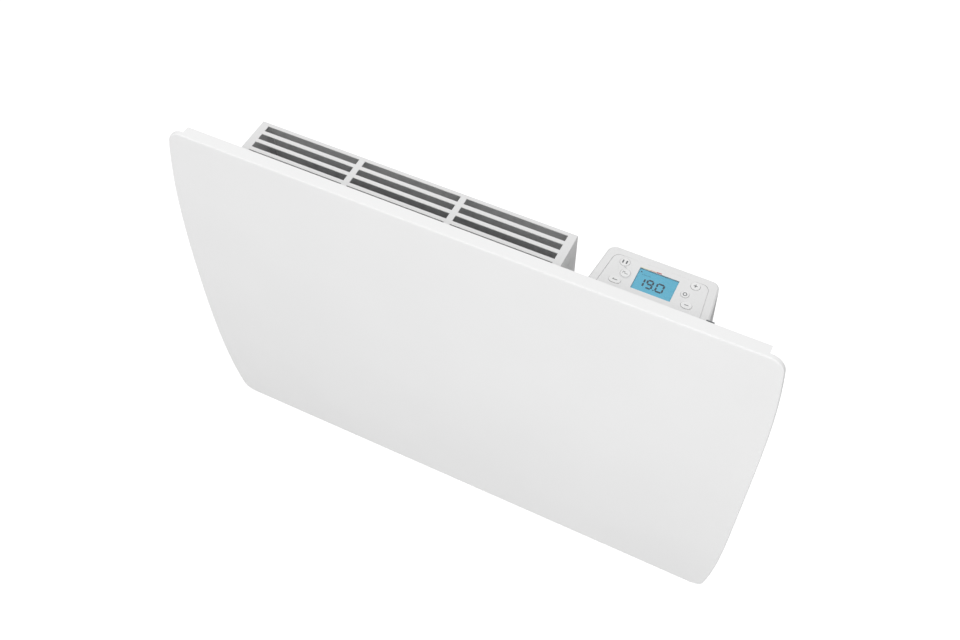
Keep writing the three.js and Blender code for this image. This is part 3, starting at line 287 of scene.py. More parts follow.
# the housing is the cover's white plastic, given a darker grey as painted shade for its shaded side
# walls
SHADED_HOUSING_PLASTIC = plastic("housing_plastic_painted_shade", srgb(208, 208, 208), 0.55)
GREY_PLASTIC = plastic("grey_plastic", srgb(98, 103, 108), 0.6)
BLACK_PLASTIC = plastic("black_plastic", srgb(38, 40, 43), 0.5)
STEATITE = plastic("steatite", srgb(222, 212, 196), 0.75, 900.0, 0.25)
INK = ink("grey_ink", srgb(104, 106, 108), 0.5)
INK_PALE = ink("pale_ink", srgb(150, 152, 154), 0.5)
PIXEL = ink("dark_segments", srgb(24, 44, 60))
PIXEL_FINE = ink("fine_segments", srgb(40, 96, 122))
GAUGE_YELLOW = ink("gauge_yellow", srgb(226, 214, 128))
GAUGE_ORANGE = ink("gauge_orange", srgb(222, 150, 96))
GAUGE_RED = ink("gauge_red", srgb(176, 62, 66))

SLOT_MATERIALS = {
    "panel_paint": WHITE_PANEL,
    "casing_paint": powder_coat("casing_powder_coat", srgb(236, 236, 236), 0.45),
    "grille_paint": powder_coat("grille_powder_coat", srgb(224, 224, 224), 0.45),
    # the shield's dark grey is partly painted shade
    "shield_steel": SHADE_AND_WELD_GREY,
    "bracket_steel": galvanised("galvanised_sheet", srgb(176, 180, 183)),
    "screw_steel": SCREW_STEEL, "rod_steel": ROD_STEEL,
    "aluminium": bare_metal("mill_aluminium", srgb(206, 209, 212), 0.35, (1.0, 1.0, 14.0)),
    "control_plastic": CONTROL_PLASTIC, "button_plastic": BUTTON_PLASTIC,
    "grey_plastic": GREY_PLASTIC, "black_plastic": BLACK_PLASTIC,
    "rocker_plastic": plastic("rocker_plastic", srgb(28, 29, 31), 0.3, 3000.0, 0.04),
    "steatite": STEATITE,
    "circuit_board": plastic("circuit_board", srgb(30, 96, 62), 0.35, 700.0, 0.15),
    "screen": lit_screen("screen_blue", srgb(80, 166, 194)),
    "window": clear_window("screen_window"),
    "film": plastic("heating_film", srgb(150, 92, 44), 0.3, 300.0, 0.1),
    "mineral_wool": fibre("mineral_wool", srgb(214, 205, 178)),
    "lead_red": plastic("red_sleeve", srgb(150, 46, 40), 0.55, 1500.0, 0.2),
    "lead_blue": plastic("blue_sleeve", srgb(40, 78, 140), 0.55, 1500.0, 0.2),
}
SLOT_OF = {part["node"]: part["material_slot"] for part in frame["record"]["subparts"]}

# ---------- mesh helpers


def placed(name, data):
    obj = bpy.data.objects.new(name, data)
    bpy.context.scene.collection.objects.link(obj)
    return obj


def new_object(name, mesh, material):
    obj = placed(name, mesh)
    mesh.materials.clear()
    mesh.materials.append(material)
    return obj


def smooth_by_angle(mesh, degrees=40.0):
    for polygon in mesh.polygons:
        polygon.use_smooth = True
    mesh.set_sharp_from_angle(angle=math.radians(degrees))


def even_normals(obj):
    """Large flat faces keep their own normal beside small rounded edges."""
    modifier = obj.modifiers.new("even_normals", "WEIGHTED_NORMAL")
    modifier.keep_sharp = True
    return obj


def cleaned(name, mesh, material, angle, flat=False):
    """An object of the mesh without doubled points or, if flat, lines across flat faces."""
    tidy = bmesh.new()
    tidy.from_mesh(mesh)
    bmesh.ops.remove_doubles(tidy, verts=tidy.verts, dist=MERGE)
    if flat:
        bmesh.ops.dissolve_limit(tidy, angle_limit=FLAT_ANGLE, verts=tidy.verts, edges=tidy.edges)
    bmesh.ops.recalc_face_normals(tidy, faces=tidy.faces)
    tidy.to_mesh(mesh)
    tidy.free()
    smooth_by_angle(mesh, angle)
    return even_normals(new_object(name, mesh, material))


def from_points(name, points, faces, material, angle=40.0):
    mesh = bpy.data.meshes.new(name)
    mesh.from_pydata([tuple(p) for p in points], [], faces)
    return cleaned(name, mesh, material, angle)


def evaluated_mesh(obj):
    bpy.context.view_layer.update()
    depsgraph = bpy.context.evaluated_depsgraph_get()
    return bpy.data.meshes.new_from_object(obj.evaluated_get(depsgraph))


def bands(rings, closed=True):
    """Quads between rings of point numbers."""
    faces = []
    for near, far in zip(rings, rings[1:]):
        count = len(near)
        for i in range(count if closed else count - 1):
            j = (i + 1) % count
            faces.append((near[i], near[j], far[j], far[i]))
    return faces


def turned(name, profile, axis, centre, material, sides=48, angle=40.0):
    """A profile of (radius, distance along the axis) turned about X, Y or Z."""
    points, rings = [], []
    for radius, along in profile:
        ring = []
        for k in range(sides):
            turn = 2 * math.pi * k / sides
            a, b = radius * math.cos(turn), radius * math.sin(turn)
            local = {"x": (along, a, b), "y": (b, along, a), "z": (a, b, along)}[axis]
            ring.append(len(points))
            points.append(Vector(local) + Vector(centre))
        rings.append(ring)
    faces = bands(rings)
    return from_points(name, points, faces, material, angle)


def fillet(radius, steps=4):
    """(inset, drop) pairs of a quarter round, from the flat face to the wall."""
    turns = [math.pi / 2 * k / steps for k in range(steps + 1)]
    return [(radius * (1 - math.sin(t)), radius * (1 - math.cos(t))) for t in turns]


def stacked(levels):
    """The points of outlines at their heights, and each outline's point numbers."""
    points, rings = [], []
    for outline, height in levels:
        rings.append(list(range(len(points), len(points) + len(outline))))
        points += [(x, y, height) for x, y in outline]
    return points, rings


def slab(name, outline, low, high, top, bottom, material):
    """A solid over an outline function of inset, with rounded top and bottom edges."""
    levels = [(outline(inset), high - drop) for inset, drop in fillet(top)]
    levels += [(outline(inset), low + drop) for inset, drop in reversed(fillet(bottom))]
    points, rings = stacked(levels)
    faces = bands(rings)
    for ring in (rings[0], rings[-1]):
        count, middle = len(ring), len(points)
        points.append((sum(points[i][0] for i in ring) / count,
                       sum(points[i][1] for i in ring) / count, points[ring[0]][2]))
        faces += [(ring[i], ring[(i + 1) % count], middle) for i in range(count)]
    return from_points(name, points, faces, material)


def tube(name, levels, material):
    """A closed ring-shaped solid over outlines at their heights."""
    points, rings = stacked(levels)
    return from_points(name, points, bands(rings + [rings[0]]), material, 50.0)


def plate(name, outer, holes, low, high, edge, material, normal="z"):
    """A flat sheet with holes and rounded edges, drawn in the plane square to its normal."""
    curve = bpy.data.curves.new(name, "CURVE")
    curve.dimensions = "2D"
    curve.fill_mode = "BOTH"
    curve.extrude = (high - low) / 2 - edge
    curve.bevel_depth = edge
    curve.bevel_resolution = 2
    curve.offset = -edge
    for loop, clockwise in [(outer, False)] + [(hole, True) for hole in holes]:
        area = sum(a[0] * b[1] - b[0] * a[1] for a, b in zip(loop, loop[1:] + loop[:1]))
        ordered = loop[::-1] if (area < 0) != clockwise else loop
        spline = curve.splines.new("POLY")
        spline.points.add(len(ordered) - 1)
        for point, (a, b) in zip(spline.points, ordered):
            point.co = (a, b, 0.0, 1.0)
        spline.use_cyclic_u = True
    carrier = placed(name + "_curve", curve)
    mesh = evaluated_mesh(carrier)
    bpy.data.objects.remove(carrier)
    bpy.data.curves.remove(curve)
    middle = (low + high) / 2
    order = {"z": (0, 1, 2), "y": (0, 2, 1), "x": (2, 0, 1)}[normal]
    turn = Matrix([[float(j == k) for j in range(3)] for k in order]).to_4x4()
    mesh.transform(Matrix.Translation([middle * (k == 2) for k in order]) @ turn)
    mesh.name = name
    return cleaned(name, mesh, material, 50.0, flat=True)


def block(name, x, y, z, material, edge=0.3 * MM):
    """A box with rounded edges."""
    mesh = bpy.data.meshes.new(name)
    shape = bmesh.new()
    bmesh.ops.create_cube(shape, size=1.0)
    size = (x[1] - x[0], y[1] - y[0], z[1] - z[0])
    middle = ((x[0] + x[1]) / 2, (y[0] + y[1]) / 2, (z[0] + z[1]) / 2)
    bmesh.ops.scale(shape, vec=size, verts=shape.verts)
    bmesh.ops.translate(shape, vec=middle, verts=shape.verts)
    bmesh.ops.bevel(shape, geom=shape.edges, offset=min([edge] + [s * 0.45 for s in size]),
                    segments=3, profile=0.5, affect="EDGES")
    shape.to_mesh(mesh)
    shape.free()
    smooth_by_angle(mesh)
    return even_normals(new_object(name, mesh, material))


def rectangle(x0, x1, y0, y1):
    return [(x0, y0), (x1, y0), (x1, y1), (x0, y1)]


def polar(x, y, radius, angle):
    """The point at an angle on a circle."""
    return x + radius * math.cos(angle), y + radius * math.sin(angle)


def circle(x, y, radius):
    return [polar(x, y, radius, 2 * math.pi * k / CIRCLE_STEPS) for k in range(CIRCLE_STEPS)]


def middle_of(node):
    """The middle of a CAD node's box."""
    low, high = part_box(node)
    return [(a + b) / 2 for a, b in zip(low, high)]


def joined(name, objects):
    """Several objects as one piece."""
    keep = objects[0]
    with bpy.context.temp_override(active_object=keep, selected_editable_objects=objects):
        bpy.ops.object.join()
    keep.name = name
    keep.data.name = name
    return keep


def stands_for(obj, node, body=ROOT):
    """obj is shown in place of a CAD node and moves with its body."""
    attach(obj, body)
    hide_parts(node)
    return obj


def detail(obj, slot_name, body=ROOT):
    """obj is an added detail that moves with a body."""
    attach(obj, body)
    return obj


def dress(node, edge):
    """A CAD node keeps its shape and gets its material and softened edges."""
    obj = frame["nodes"][node]
    obj.data.materials.clear()
    obj.data.materials.append(SLOT_MATERIALS[SLOT_OF[node]])
    flat = obj.modifiers.new("flat_faces", "DECIMATE")
    flat.decimate_type = "DISSOLVE"
    flat.angle_limit = FLAT_ANGLE
    if edge:
        bevel = obj.modifiers.new("soft_edges", "BEVEL")
        bevel.width = edge
        bevel.segments = 2
        bevel.limit_method = "ANGLE"
        bevel.angle_limit = SOFT_ANGLE
    even_normals(obj)
    return obj

# ---------- front panel


def panel_boundary(half_x, half_z):
    """Points and outward normals round the panel: across the top, down the right, and back."""
    side_x = lambda z: half_x - PANEL_SIDE_DROP * (abs(z) / half_z) ** 4
    centre_z = half_z - PANEL_CORNER
    slope = -4 * PANEL_SIDE_DROP / half_z * (centre_z / half_z) ** 3
    centre_x = side_x(centre_z) - PANEL_CORNER * math.hypot(1, slope)
    start = math.atan2(-slope, 1)
    tangent_z = centre_z + PANEL_CORNER * math.sin(start)

    end = centre_x - FLANGE_END
    top = [end * share for share in PANEL_COLUMNS] + [end, end + FLANGE_STEP, centre_x]
    top = [-x for x in reversed(top[1:])] + top
    top_row = [((x, half_z), (0.0, 1.0)) for x in top]

    corner, side = [], []
    for k in range(1, CORNER_STEPS + 1):
        angle = math.pi / 2 - (math.pi / 2 - start) * k / CORNER_STEPS
        normal = (math.cos(angle), math.sin(angle))
        corner.append((polar(centre_x, centre_z, PANEL_CORNER, angle), normal))
    for k in range(1, SIDE_STEPS):
        z = tangent_z * (1 - k / SIDE_STEPS)
        lean = math.atan2(4 * PANEL_SIDE_DROP / half_z * (z / half_z) ** 3, 1)
        side.append(((side_x(z), z), (math.cos(lean), math.sin(lean))))
    upper = corner + side
    middle = [((half_x, 0.0), (1.0, 0.0))]
    lower = [((x, -z), (nx, -nz)) for (x, z), (nx, nz) in reversed(upper)]
    return top_row, upper + middle + lower, end


def front_panel():
    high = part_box("front_panel")[1]
    half_x, half_z = high.x, high.z
    flange_back = high.y
    edge_y = flange_back - PANEL_FLANGE
    bow = lambda z: edge_y - PANEL_BOW * (1 - (z / half_z) ** 2)
    top_row, right_side, flange_end = panel_boundary(half_x, half_z)
    flip = lambda row: [((-x, -z), (-nx, -nz)) for (x, z), (nx, nz) in row]
    loop = top_row + right_side + flip(top_row) + flip(right_side)

    def back_y(x, z):
        on_flange = abs(x) <= flange_end + EDGE_NEAR and abs(z) > half_z - EDGE_NEAR
        return flange_back if on_flange else bow(z) + PANEL_RIM

    # inset and depth from the face, round the fold and the cut edge, to the inner face; a depth
    # is measured from the bowed face, or from the back edge where the third value is true
    outer = [(inset, drop, False) for inset, drop in fillet(PANEL_FOLD, 6)]
    inner = [(PANEL_SHEET + inset, PANEL_SHEET + drop, False)
             for inset, drop in reversed(fillet(PANEL_FOLD - PANEL_SHEET))]
    cut = [(0.0, -HEM), (HEM_CUT, -HEM_CUT), (HEM, 0.0), (PANEL_SHEET - HEM, 0.0),
           (PANEL_SHEET - HEM_CUT, -HEM_CUT), (PANEL_SHEET, -HEM)]
    hem = [(inset, depth, True) for inset, depth in cut]
    points, rings = [], []
    for inset, depth, from_back in outer + hem + inner:
        ring = []
        for (x, z), (nx, nz) in loop:
            px, pz = x - nx * inset, z - nz * inset
            y = (back_y(x, z) if from_back else bow(pz)) + depth
            ring.append(len(points))
            points.append((px, y, pz))
        rings.append(ring)
    faces = bands(rings)

    def sheet(ring, depth, turn):
        across, down = len(top_row), len(right_side)
        top = ring[:across]
        right = [top[-1]] + ring[across:across + down]
        bottom = ring[across + down:2 * across + down][::-1]
        left = [top[0]] + ring[2 * across + down:][::-1]
        right.append(bottom[-1])
        left.append(bottom[0])
        rows = [top]
        for j in range(1, down + 1):
            x1, _, z = points[right[j]]
            row = [left[j]]
            for i in range(1, across - 1):
                x = x1 * points[top[i]][0] / points[top[-1]][0]
                row.append(len(points))
                points.append((x, bow(z) + depth, z))
            rows.append(row + [right[j]])
        rows.append(bottom)
        found = bands(rows, closed=False)
        return found if turn else [face[::-1] for face in found]

    faces += sheet(rings[0], 0.0, True)
    faces += sheet(rings[-1], PANEL_SHEET, False)
    panel = from_points("front_panel_sheet", points, faces, WHITE_PANEL, 60.0)
    return stands_for(panel, "front_panel")

# ---------- grilles

GRILLE = {"columns": 3, "rows": 4, "length": 111.86 * MM, "divider": 6.86 * MM,
          "width": 7.67 * MM, "pitch": 12.56 * MM}
INLET = {"columns": 4, "rows": 3, "length": 70 * MM, "divider": 7 * MM,
         "width": 8 * MM, "pitch": 13 * MM}


def slotted(name, node, layout, edge):
    low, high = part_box(node)
    cx, cy, _ = middle_of(node)
    span_x = layout["columns"] * (layout["length"] + layout["divider"]) - layout["divider"]
    span_y = (layout["rows"] - 1) * layout["pitch"] + layout["width"]
    holes = []
    for column in range(layout["columns"]):
        x = cx - span_x / 2 + column * (layout["length"] + layout["divider"])
        for row in range(layout["rows"]):
            y = cy - span_y / 2 + row * layout["pitch"]
            holes.append(rectangle(x, x + layout["length"], y, y + layout["width"]))
    sheet = plate(name, rectangle(low.x, high.x, low.y, high.y), holes, low.z, high.z, edge,
                  SLOT_MATERIALS[SLOT_OF[node]])
    return stands_for(sheet, node)

# ---------- control box

CONTROL_CORNER = 9 * MM
CONTROL_LEAST = 0.3 * MM  # smallest corner of an inner outline
CONTROL_TAPER = 6.2 * MM  # each side widens this much from back to front
CONTROL_WALL = 2 * MM
HOUSING_DRAFT = 2.7 * MM  # each side stands out this much further at its foot
SEAM = 0.3 * MM  # rounding on each side of the joint between cover and housing
CONTROL_STEPS = 8  # in each corner
COVER_EDGE = 1.6 * MM  # how far the cover's side leans in
COVER_FALL = 0.6 * MM  # the rim falls away this far from the groove to its edge
COVER_ROUND = ((-0.25 * MM, 0.3 * MM), (0.0, 0.06 * MM), (0.4 * MM, 0.0))
KEY_MARGIN = 9.2 * MM  # cover's edge to the groove round the keys
KEY_FRONT = 5.5 * MM
KEY_CORNER = 7 * MM
KEY_FRONT_CORNER = 5 * MM
GROOVE_WIDTH = 0.55 * MM
GROOVE_DEPTH = 0.8 * MM
GROOVE_FADE = 11 * MM  # the groove runs out over this length along the back
GROOVE_FADE_START = 0.4  # share of its width lost in the corner before that
GROOVE_SOFT = 0.12 * MM
FLOOR_INSET = 6 * MM  # floor under the keys, drawn in from the cover's edge
FLOOR_LIFT = 0.4 * MM
LCD_Y = -49 * MM
LCD_WIDTH, LCD_DEPTH = 40 * MM, 27.4 * MM
CABLE_OPENING = (30 * MM, 20 * MM)
SNAP_LEG = (12 * MM, 2 * MM, 0.4 * MM)  # width, thickness, rounding
SNAP_LEG_X = 30 * MM
HOUSING_SEAT = 0.3 * MM  # above the bay's top
HOUSING_FOOT = 0.6 * MM  # rounding of the foot
BUTTON_GAP = 0.2 * MM
BUTTON_COLLAR = 1 * MM  # how far the collar stands out under the cover
BUTTON_REST = 0.3 * MM  # collar to cover
BUTTON_ROUND, BUTTON_EDGE = 0.5 * MM, 0.2 * MM
CAP_TOP = 0.2 * MM  # points this near the top are the cap's
SHEET_EDGE = 0.1 * MM  # rounding of inner edges
PRINT = 0.03 * MM  # thickness of printed marks
PRINT_EDGE = 0.004 * MM
PRINT_LIFT = 0.001 * MM  # icons stand this far above their key
BUTTONS = {
    "button_mode": "mode_button", "button_program": "program_button", "button_back": "back_button",
    "button_plus": "plus_button", "button_ok": "ok_button", "button_minus": "minus_button",
}


def control_corners():
    """Middle, half widths at the back and front of the control box, and its y range."""
    low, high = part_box("control_housing")
    flat = [v.co for v in frame["nodes"]["control_cover"].data.vertices]
    back_y, front_y = max(v.y for v in flat), min(v.y for v in flat)
    centre = (low.x + high.x) / 2
    front_half = max(abs(v.x - centre) for v in flat)
    return centre, front_half - CONTROL_TAPER, front_half, front_y, back_y


def control_ring(inset, corner, front_corner=0.1 * MM, front_inset=None, groove=0.0):
    """The control box from above, drawn in from its edge; the groove's share fades at the back."""
    centre, back_half, front_half, front_y, back_y = control_corners()
    flare = (front_half - back_half) / (back_y - front_y)
    steps = CONTROL_STEPS
    corner_steps = range(steps + 1)
    lost = GROOVE_FADE_START
    shares = [1.0] * (2 * (steps + 1)) + [1.0 - lost * k / steps for k in corner_steps] + [0.0]
    shares += [0.0] + [1.0 - lost + lost * k / steps for k in corner_steps]
    ring = []
    for number, share in enumerate(shares):
        depth = inset + groove * share
        half = lambda y: back_half + flare * (back_y - y) - depth
        back = back_y - depth
        front = front_y + (depth if front_inset is None else front_inset + groove * share)
        extra = number - 3 * (steps + 1)
        if extra in (0, 1):
            x = half(back - corner) - corner - GROOVE_FADE
            ring.append((centre + (x if extra == 0 else -x), back))
            continue
        index = number if extra < 0 else number - 2
        quarter, k = divmod(index, steps + 1)
        radius = front_corner if quarter < 2 else corner
        cy = front + radius if quarter < 2 else back - radius
        side = 1 if quarter in (1, 2) else -1
        angle = math.pi + math.pi / 2 * (quarter + k / steps)
        ring.append(polar(centre + side * (half(cy) - radius), cy, radius, angle))
    return ring


def box_outline(inset):
    return control_ring(inset, max(CONTROL_CORNER - inset, CONTROL_LEAST))


def cap_box(node):
    """The button's cap, at the height where it meets the cover."""
    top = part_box(node)[1].z
    cap = [v.co for v in frame["nodes"][node].data.vertices if v.co.z > top - CAP_TOP]
    across, deep = [v.x for v in cap], [v.y for v in cap]
    return min(across), max(across), min(deep), max(deep)


def cap_middle(node):
    x0, x1, y0, y1 = cap_box(node)
    return (x0 + x1) / 2, (y0 + y1) / 2


def oval(node, grow):
    x0, x1, y0, y1 = cap_box(node)
    cx, cy = cap_middle(node)
    radius, run = (y1 - y0) / 2 + grow, max((x1 - x0) - (y1 - y0), 0.0) / 2
    points = []
    for k in range(OVAL_STEPS):
        angle = 2 * math.pi * (k + 0.5) / OVAL_STEPS
        side = 1 if math.cos(angle) > 0 else -1
        points.append(polar(cx + side * run, cy, radius, angle))
    return points


def lcd_rectangle():
    centre = control_corners()[0]
    return rectangle(centre - LCD_WIDTH / 2, centre + LCD_WIDTH / 2,
                     LCD_Y - LCD_DEPTH / 2, LCD_Y + LCD_DEPTH / 2)


def control_cover():
    low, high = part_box("control_cover")
    half_groove = GROOVE_WIDTH / 2
    key_ring = lambda groove, inset=KEY_MARGIN: control_ring(
        inset, KEY_CORNER, KEY_FRONT_CORNER, KEY_FRONT + inset - KEY_MARGIN, groove)
    shoulder = high.z - COVER_FALL
    rings = [(box_outline(SEAM), low.z), (box_outline(0.0), low.z + SEAM)]
    rings += [(box_outline(COVER_EDGE + inset), shoulder - drop) for inset, drop in COVER_ROUND]
    rings += [(key_ring(-half_groove, KEY_MARGIN - GROOVE_SOFT), high.z),
              (key_ring(-half_groove), high.z - GROOVE_SOFT), (key_ring(-half_groove), low.z)]
    rim = tube("cover_rim", rings, CONTROL_PLASTIC)
    keys = [oval(node, BUTTON_GAP) for node in BUTTONS] + [lcd_rectangle()]
    face = plate("cover_face", key_ring(half_groove), keys, low.z, high.z, GROOVE_SOFT,
                 CONTROL_PLASTIC)
    floor = plate("cover_floor", box_outline(FLOOR_INSET), keys, low.z + FLOOR_LIFT,
                  high.z - GROOVE_DEPTH, SHEET_EDGE, CONTROL_PLASTIC)
    return stands_for(joined("cover_moulding", [rim, face, floor]), "control_cover")


def control_housing():
    low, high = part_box("control_housing")
    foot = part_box("bay_top")[1].z + HOUSING_SEAT
    centre = control_corners()[0]
    middle = middle_of("bay_top")[1]
    spread = 1 + HOUSING_DRAFT / control_corners()[2]
    drafted = lambda ring: [(centre + (x - centre) * spread, y) for x, y in ring]
    rings = [(drafted(box_outline(HOUSING_FOOT)), foot),
             (drafted(box_outline(0.0)), foot + HOUSING_FOOT),
             (box_outline(0.0), high.z - SEAM), (box_outline(SEAM), high.z),
             (box_outline(CONTROL_WALL), high.z), (drafted(box_outline(CONTROL_WALL)), foot)]
    # the housing's darker grey is painted shade on its side walls
    wall = tube("housing_wall", rings, SHADED_HOUSING_PLASTIC)
    half_width, half_depth = (size / 2 for size in CABLE_OPENING)
    opening = rectangle(centre - half_width, centre + half_width,
                        middle - half_depth, middle + half_depth)
    base = plate("housing_base", drafted(box_outline(CONTROL_WALL)), [opening], foot,
                 foot + CONTROL_WALL, SHEET_EDGE, SHADED_HOUSING_PLASTIC)
    width, depth, edge = SNAP_LEG
    legs = []
    for side in SIDES.values():
        x = centre + side * SNAP_LEG_X
        legs.append(block("housing_leg", (x - width / 2, x + width / 2),
                          (middle - depth / 2, middle + depth / 2), (low.z, foot + MM),
                          SHADED_HOUSING_PLASTIC, edge))
    return stands_for(joined("housing_moulding", [wall, base] + legs), "control_housing")


def lcd_point(a, b):
    """A place on the screen: shares of its width from the left and its depth from the back."""
    centre = control_corners()[0]
    return centre + (a - 0.5) * LCD_WIDTH, LCD_Y + (0.5 - b) * LCD_DEPTH


def printed(name, loops, z, material, slot_name, body=ROOT):
    """Flat marks on one surface, joined as one piece."""
    marks = [plate(f"{name}_{i}", loop, holes, z, z + PRINT, PRINT_EDGE, material)
             for i, (loop, holes) in enumerate(loops)]
    return detail(joined(name, marks) if len(marks) > 1 else marks[0], slot_name, body)


def stroke(x0, y0, x1, y1, width):
    """A line of some width with pointed ends, as on a segment display."""
    length = math.hypot(x1 - x0, y1 - y0)
    ux, uy = (x1 - x0) / length, (y1 - y0) / length
    h = width / 2
    tip = h * 0.7
    along = lambda x, y, forward, left: (x + ux * forward - uy * left, y + uy * forward + ux * left)
    return [(x0, y0), along(x0, y0, tip, h), along(x1, y1, -tip, h), (x1, y1),
            along(x1, y1, -tip, -h), along(x0, y0, tip, -h)]


def small_stroke(x, y, x0, y0, x1, y1, width):
    """A stroke typed in millimetres from a place."""
    return stroke(x + x0 * MM, y + y0 * MM, x + x1 * MM, y + y1 * MM, width * MM)


# places on the screen are shares of its width and depth
DIGIT_ROWS = (0.385, 0.745)
DIGITS = [("bc", 0.155, 0.235), ("abcdfg", 0.312, 0.452), ("abcdef", 0.56, 0.725)]
SEGMENT_WIDTH = 1.8 * MM
SEGMENT_GAP = 0.008
DOT_AT, DOT_HALF = 0.515, 0.6 * MM
ARROW_AT = (0.07, 0.13)
ARROW = [(-0.9, -0.8), (0.9, -0.8), (0.0, 1.1)]
DASHES = [(0.10, 0.135), (0.15, 0.20), (0.215, 0.245), (0.26, 0.33)]
DASH_ROWS, DASH_WIDTH = (0.225, 0.235), 0.5 * MM
GLASS_LIFT = 0.02 * MM
GAUGE_EDGE = -0.006
GAUGE = [
    ("gauge_yellow", 0.02, 0.24, 0.35 * MM, GAUGE_YELLOW),
    ("gauge_orange", 0.25, 0.40, 0.6 * MM, GAUGE_ORANGE),
    ("gauge_red", 0.41, 0.54, 1.1 * MM, GAUGE_RED),
]


def screen_marks():
    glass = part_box("lcd_module")[1].z + GLASS_LIFT
    upper, lower = DIGIT_ROWS
    middle = (upper + lower) / 2
    g, h = SEGMENT_GAP, SEGMENT_GAP * LCD_WIDTH / LCD_DEPTH
    loops = []
    for lit, a0, a1 in DIGITS:
        ends = {
            "a": (a0 + g, upper, a1 - g, upper), "b": (a1, upper + h, a1, middle - h),
            "c": (a1, middle + h, a1, lower - h), "d": (a0 + g, lower, a1 - g, lower),
            "e": (a0, middle + h, a0, lower - h), "f": (a0, upper + h, a0, middle - h),
            "g": (a0 + g, middle, a1 - g, middle),
        }
        for key in lit:
            u0, v0, u1, v1 = ends[key]
            loops.append((stroke(*lcd_point(u0, v0), *lcd_point(u1, v1), SEGMENT_WIDTH), []))
    x, y = lcd_point(DOT_AT, lower)
    loops.append((rectangle(x - DOT_HALF, x + DOT_HALF, y - DOT_HALF, y + DOT_HALF), []))
    x, y = lcd_point(*ARROW_AT)
    loops.append(([(x + a * MM, y + b * MM) for a, b in ARROW], []))
    printed("screen_digits", loops, glass, PIXEL, "screen")
    start, end = DASH_ROWS
    dashes = [(stroke(*lcd_point(a, start), *lcd_point(b, end), DASH_WIDTH), [])
              for a, b in DASHES]
    printed("screen_dashes", dashes, glass, PIXEL_FINE, "screen")
    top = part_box("control_cover")[1].z
    for name, a0, a1, wide, material in GAUGE:
        x0, y0 = lcd_point(a0, GAUGE_EDGE)
        x1 = lcd_point(a1, 0)[0]
        printed(name, [(rectangle(x0, x1, y0, y0 + wide), [])], top, material, "screen")


# strokes in millimetres from the cap's middle: x0, y0, x1, y1, width; none stands for a ring
ICONS = {
    "button_mode": [(-1.9, -2.3, -1.9, 2.3, 1.5), (1.9, -2.3, 1.9, 2.3, 1.5)],
    "button_program": [(-2.6, -0.9, -2.6, 1.5, 0.5), (-2.6, 1.4, -0.6, 1.4, 0.5),
                       (-0.6, 1.5, -0.6, -0.7, 0.5), (-0.6, -0.6, 2.8, -0.6, 0.55)],
    "button_back": [(-2.6, 0, 2.6, 0, 0.8), (-2.5, 0.1, -1.3, 1.3, 0.5)],
    "button_plus": [(-2.1, 0, 2.1, 0, 0.8), (0, -2.1, 0, 2.1, 0.8)],
    "button_ok": [],
    "button_minus": [(-2.2, 0, 2.2, 0, 0.8)],
}
ICON_RING = (2.2 * MM, 1.35 * MM)


def buttons():
    cover_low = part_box("control_cover")[0].z
    for node, body in BUTTONS.items():
        low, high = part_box(node)
        cap = slab(node + "_cap", lambda inset, n=node: oval(n, -inset), low.z, high.z,
                   BUTTON_ROUND, BUTTON_EDGE, BUTTON_PLASTIC)
        collar = slab(node + "_collar", lambda inset, n=node: oval(n, BUTTON_COLLAR - inset),
                      low.z, cover_low - BUTTON_REST, BUTTON_EDGE, BUTTON_EDGE, BUTTON_PLASTIC)
        stands_for(joined(node + "_key", [cap, collar]), node, body)
        middle = cap_middle(node)
        outer, inner = (circle(*middle, radius) for radius in ICON_RING)
        loops = [(small_stroke(*middle, *line), []) for line in ICONS[node]] or [(outer, [inner])]
        printed(node + "_icon", loops, high.z + PRINT_LIFT, INK, "button_plastic", body)


PAD_KEYS = ("button_mode", "button_program")
PAD_RADIUS = 6.2 * MM
PAD_STEPS = 14
PAD_HEIGHT, PAD_SINK, PAD_EDGE = 0.25 * MM, 0.1 * MM, 0.14 * MM
PAD_MARK_SHIFT = 0.3 * MM
PAD_MARK = [(-1.7, 0.1, -0.6, 0.6, 0.5), (-0.6, 0.6, 0.5, -0.4, 0.5), (0.5, -0.4, 1.7, 0.2, 0.5)]


def key_pad():
    """The raised oval round the two upper left keys, with a small printed mark between them."""
    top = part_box("control_cover")[1].z
    (ax, ay), (bx, by) = (cap_middle(node) for node in PAD_KEYS)
    along = math.atan2(ay - by, ax - bx)
    turns = [along - math.pi / 2 + math.pi * k / PAD_STEPS for k in range(PAD_STEPS + 1)]
    outline = [polar(ax, ay, PAD_RADIUS, turn) for turn in turns]
    outline += [polar(bx, by, -PAD_RADIUS, turn) for turn in turns]
    keys = [oval(node, BUTTON_GAP) for node in PAD_KEYS]
    pad = plate("key_pad", outline, keys, top - PAD_SINK, top + PAD_HEIGHT, PAD_EDGE,
                CONTROL_PLASTIC)
    detail(pad, "control_plastic")
    x, y = (ax + bx) / 2 + PAD_MARK_SHIFT, (ay + by) / 2
    printed("key_pad_mark", [(small_stroke(x, y, *line), []) for line in PAD_MARK],
            top + PAD_HEIGHT, INK_PALE, "control_plastic")

# ---------- small pieces

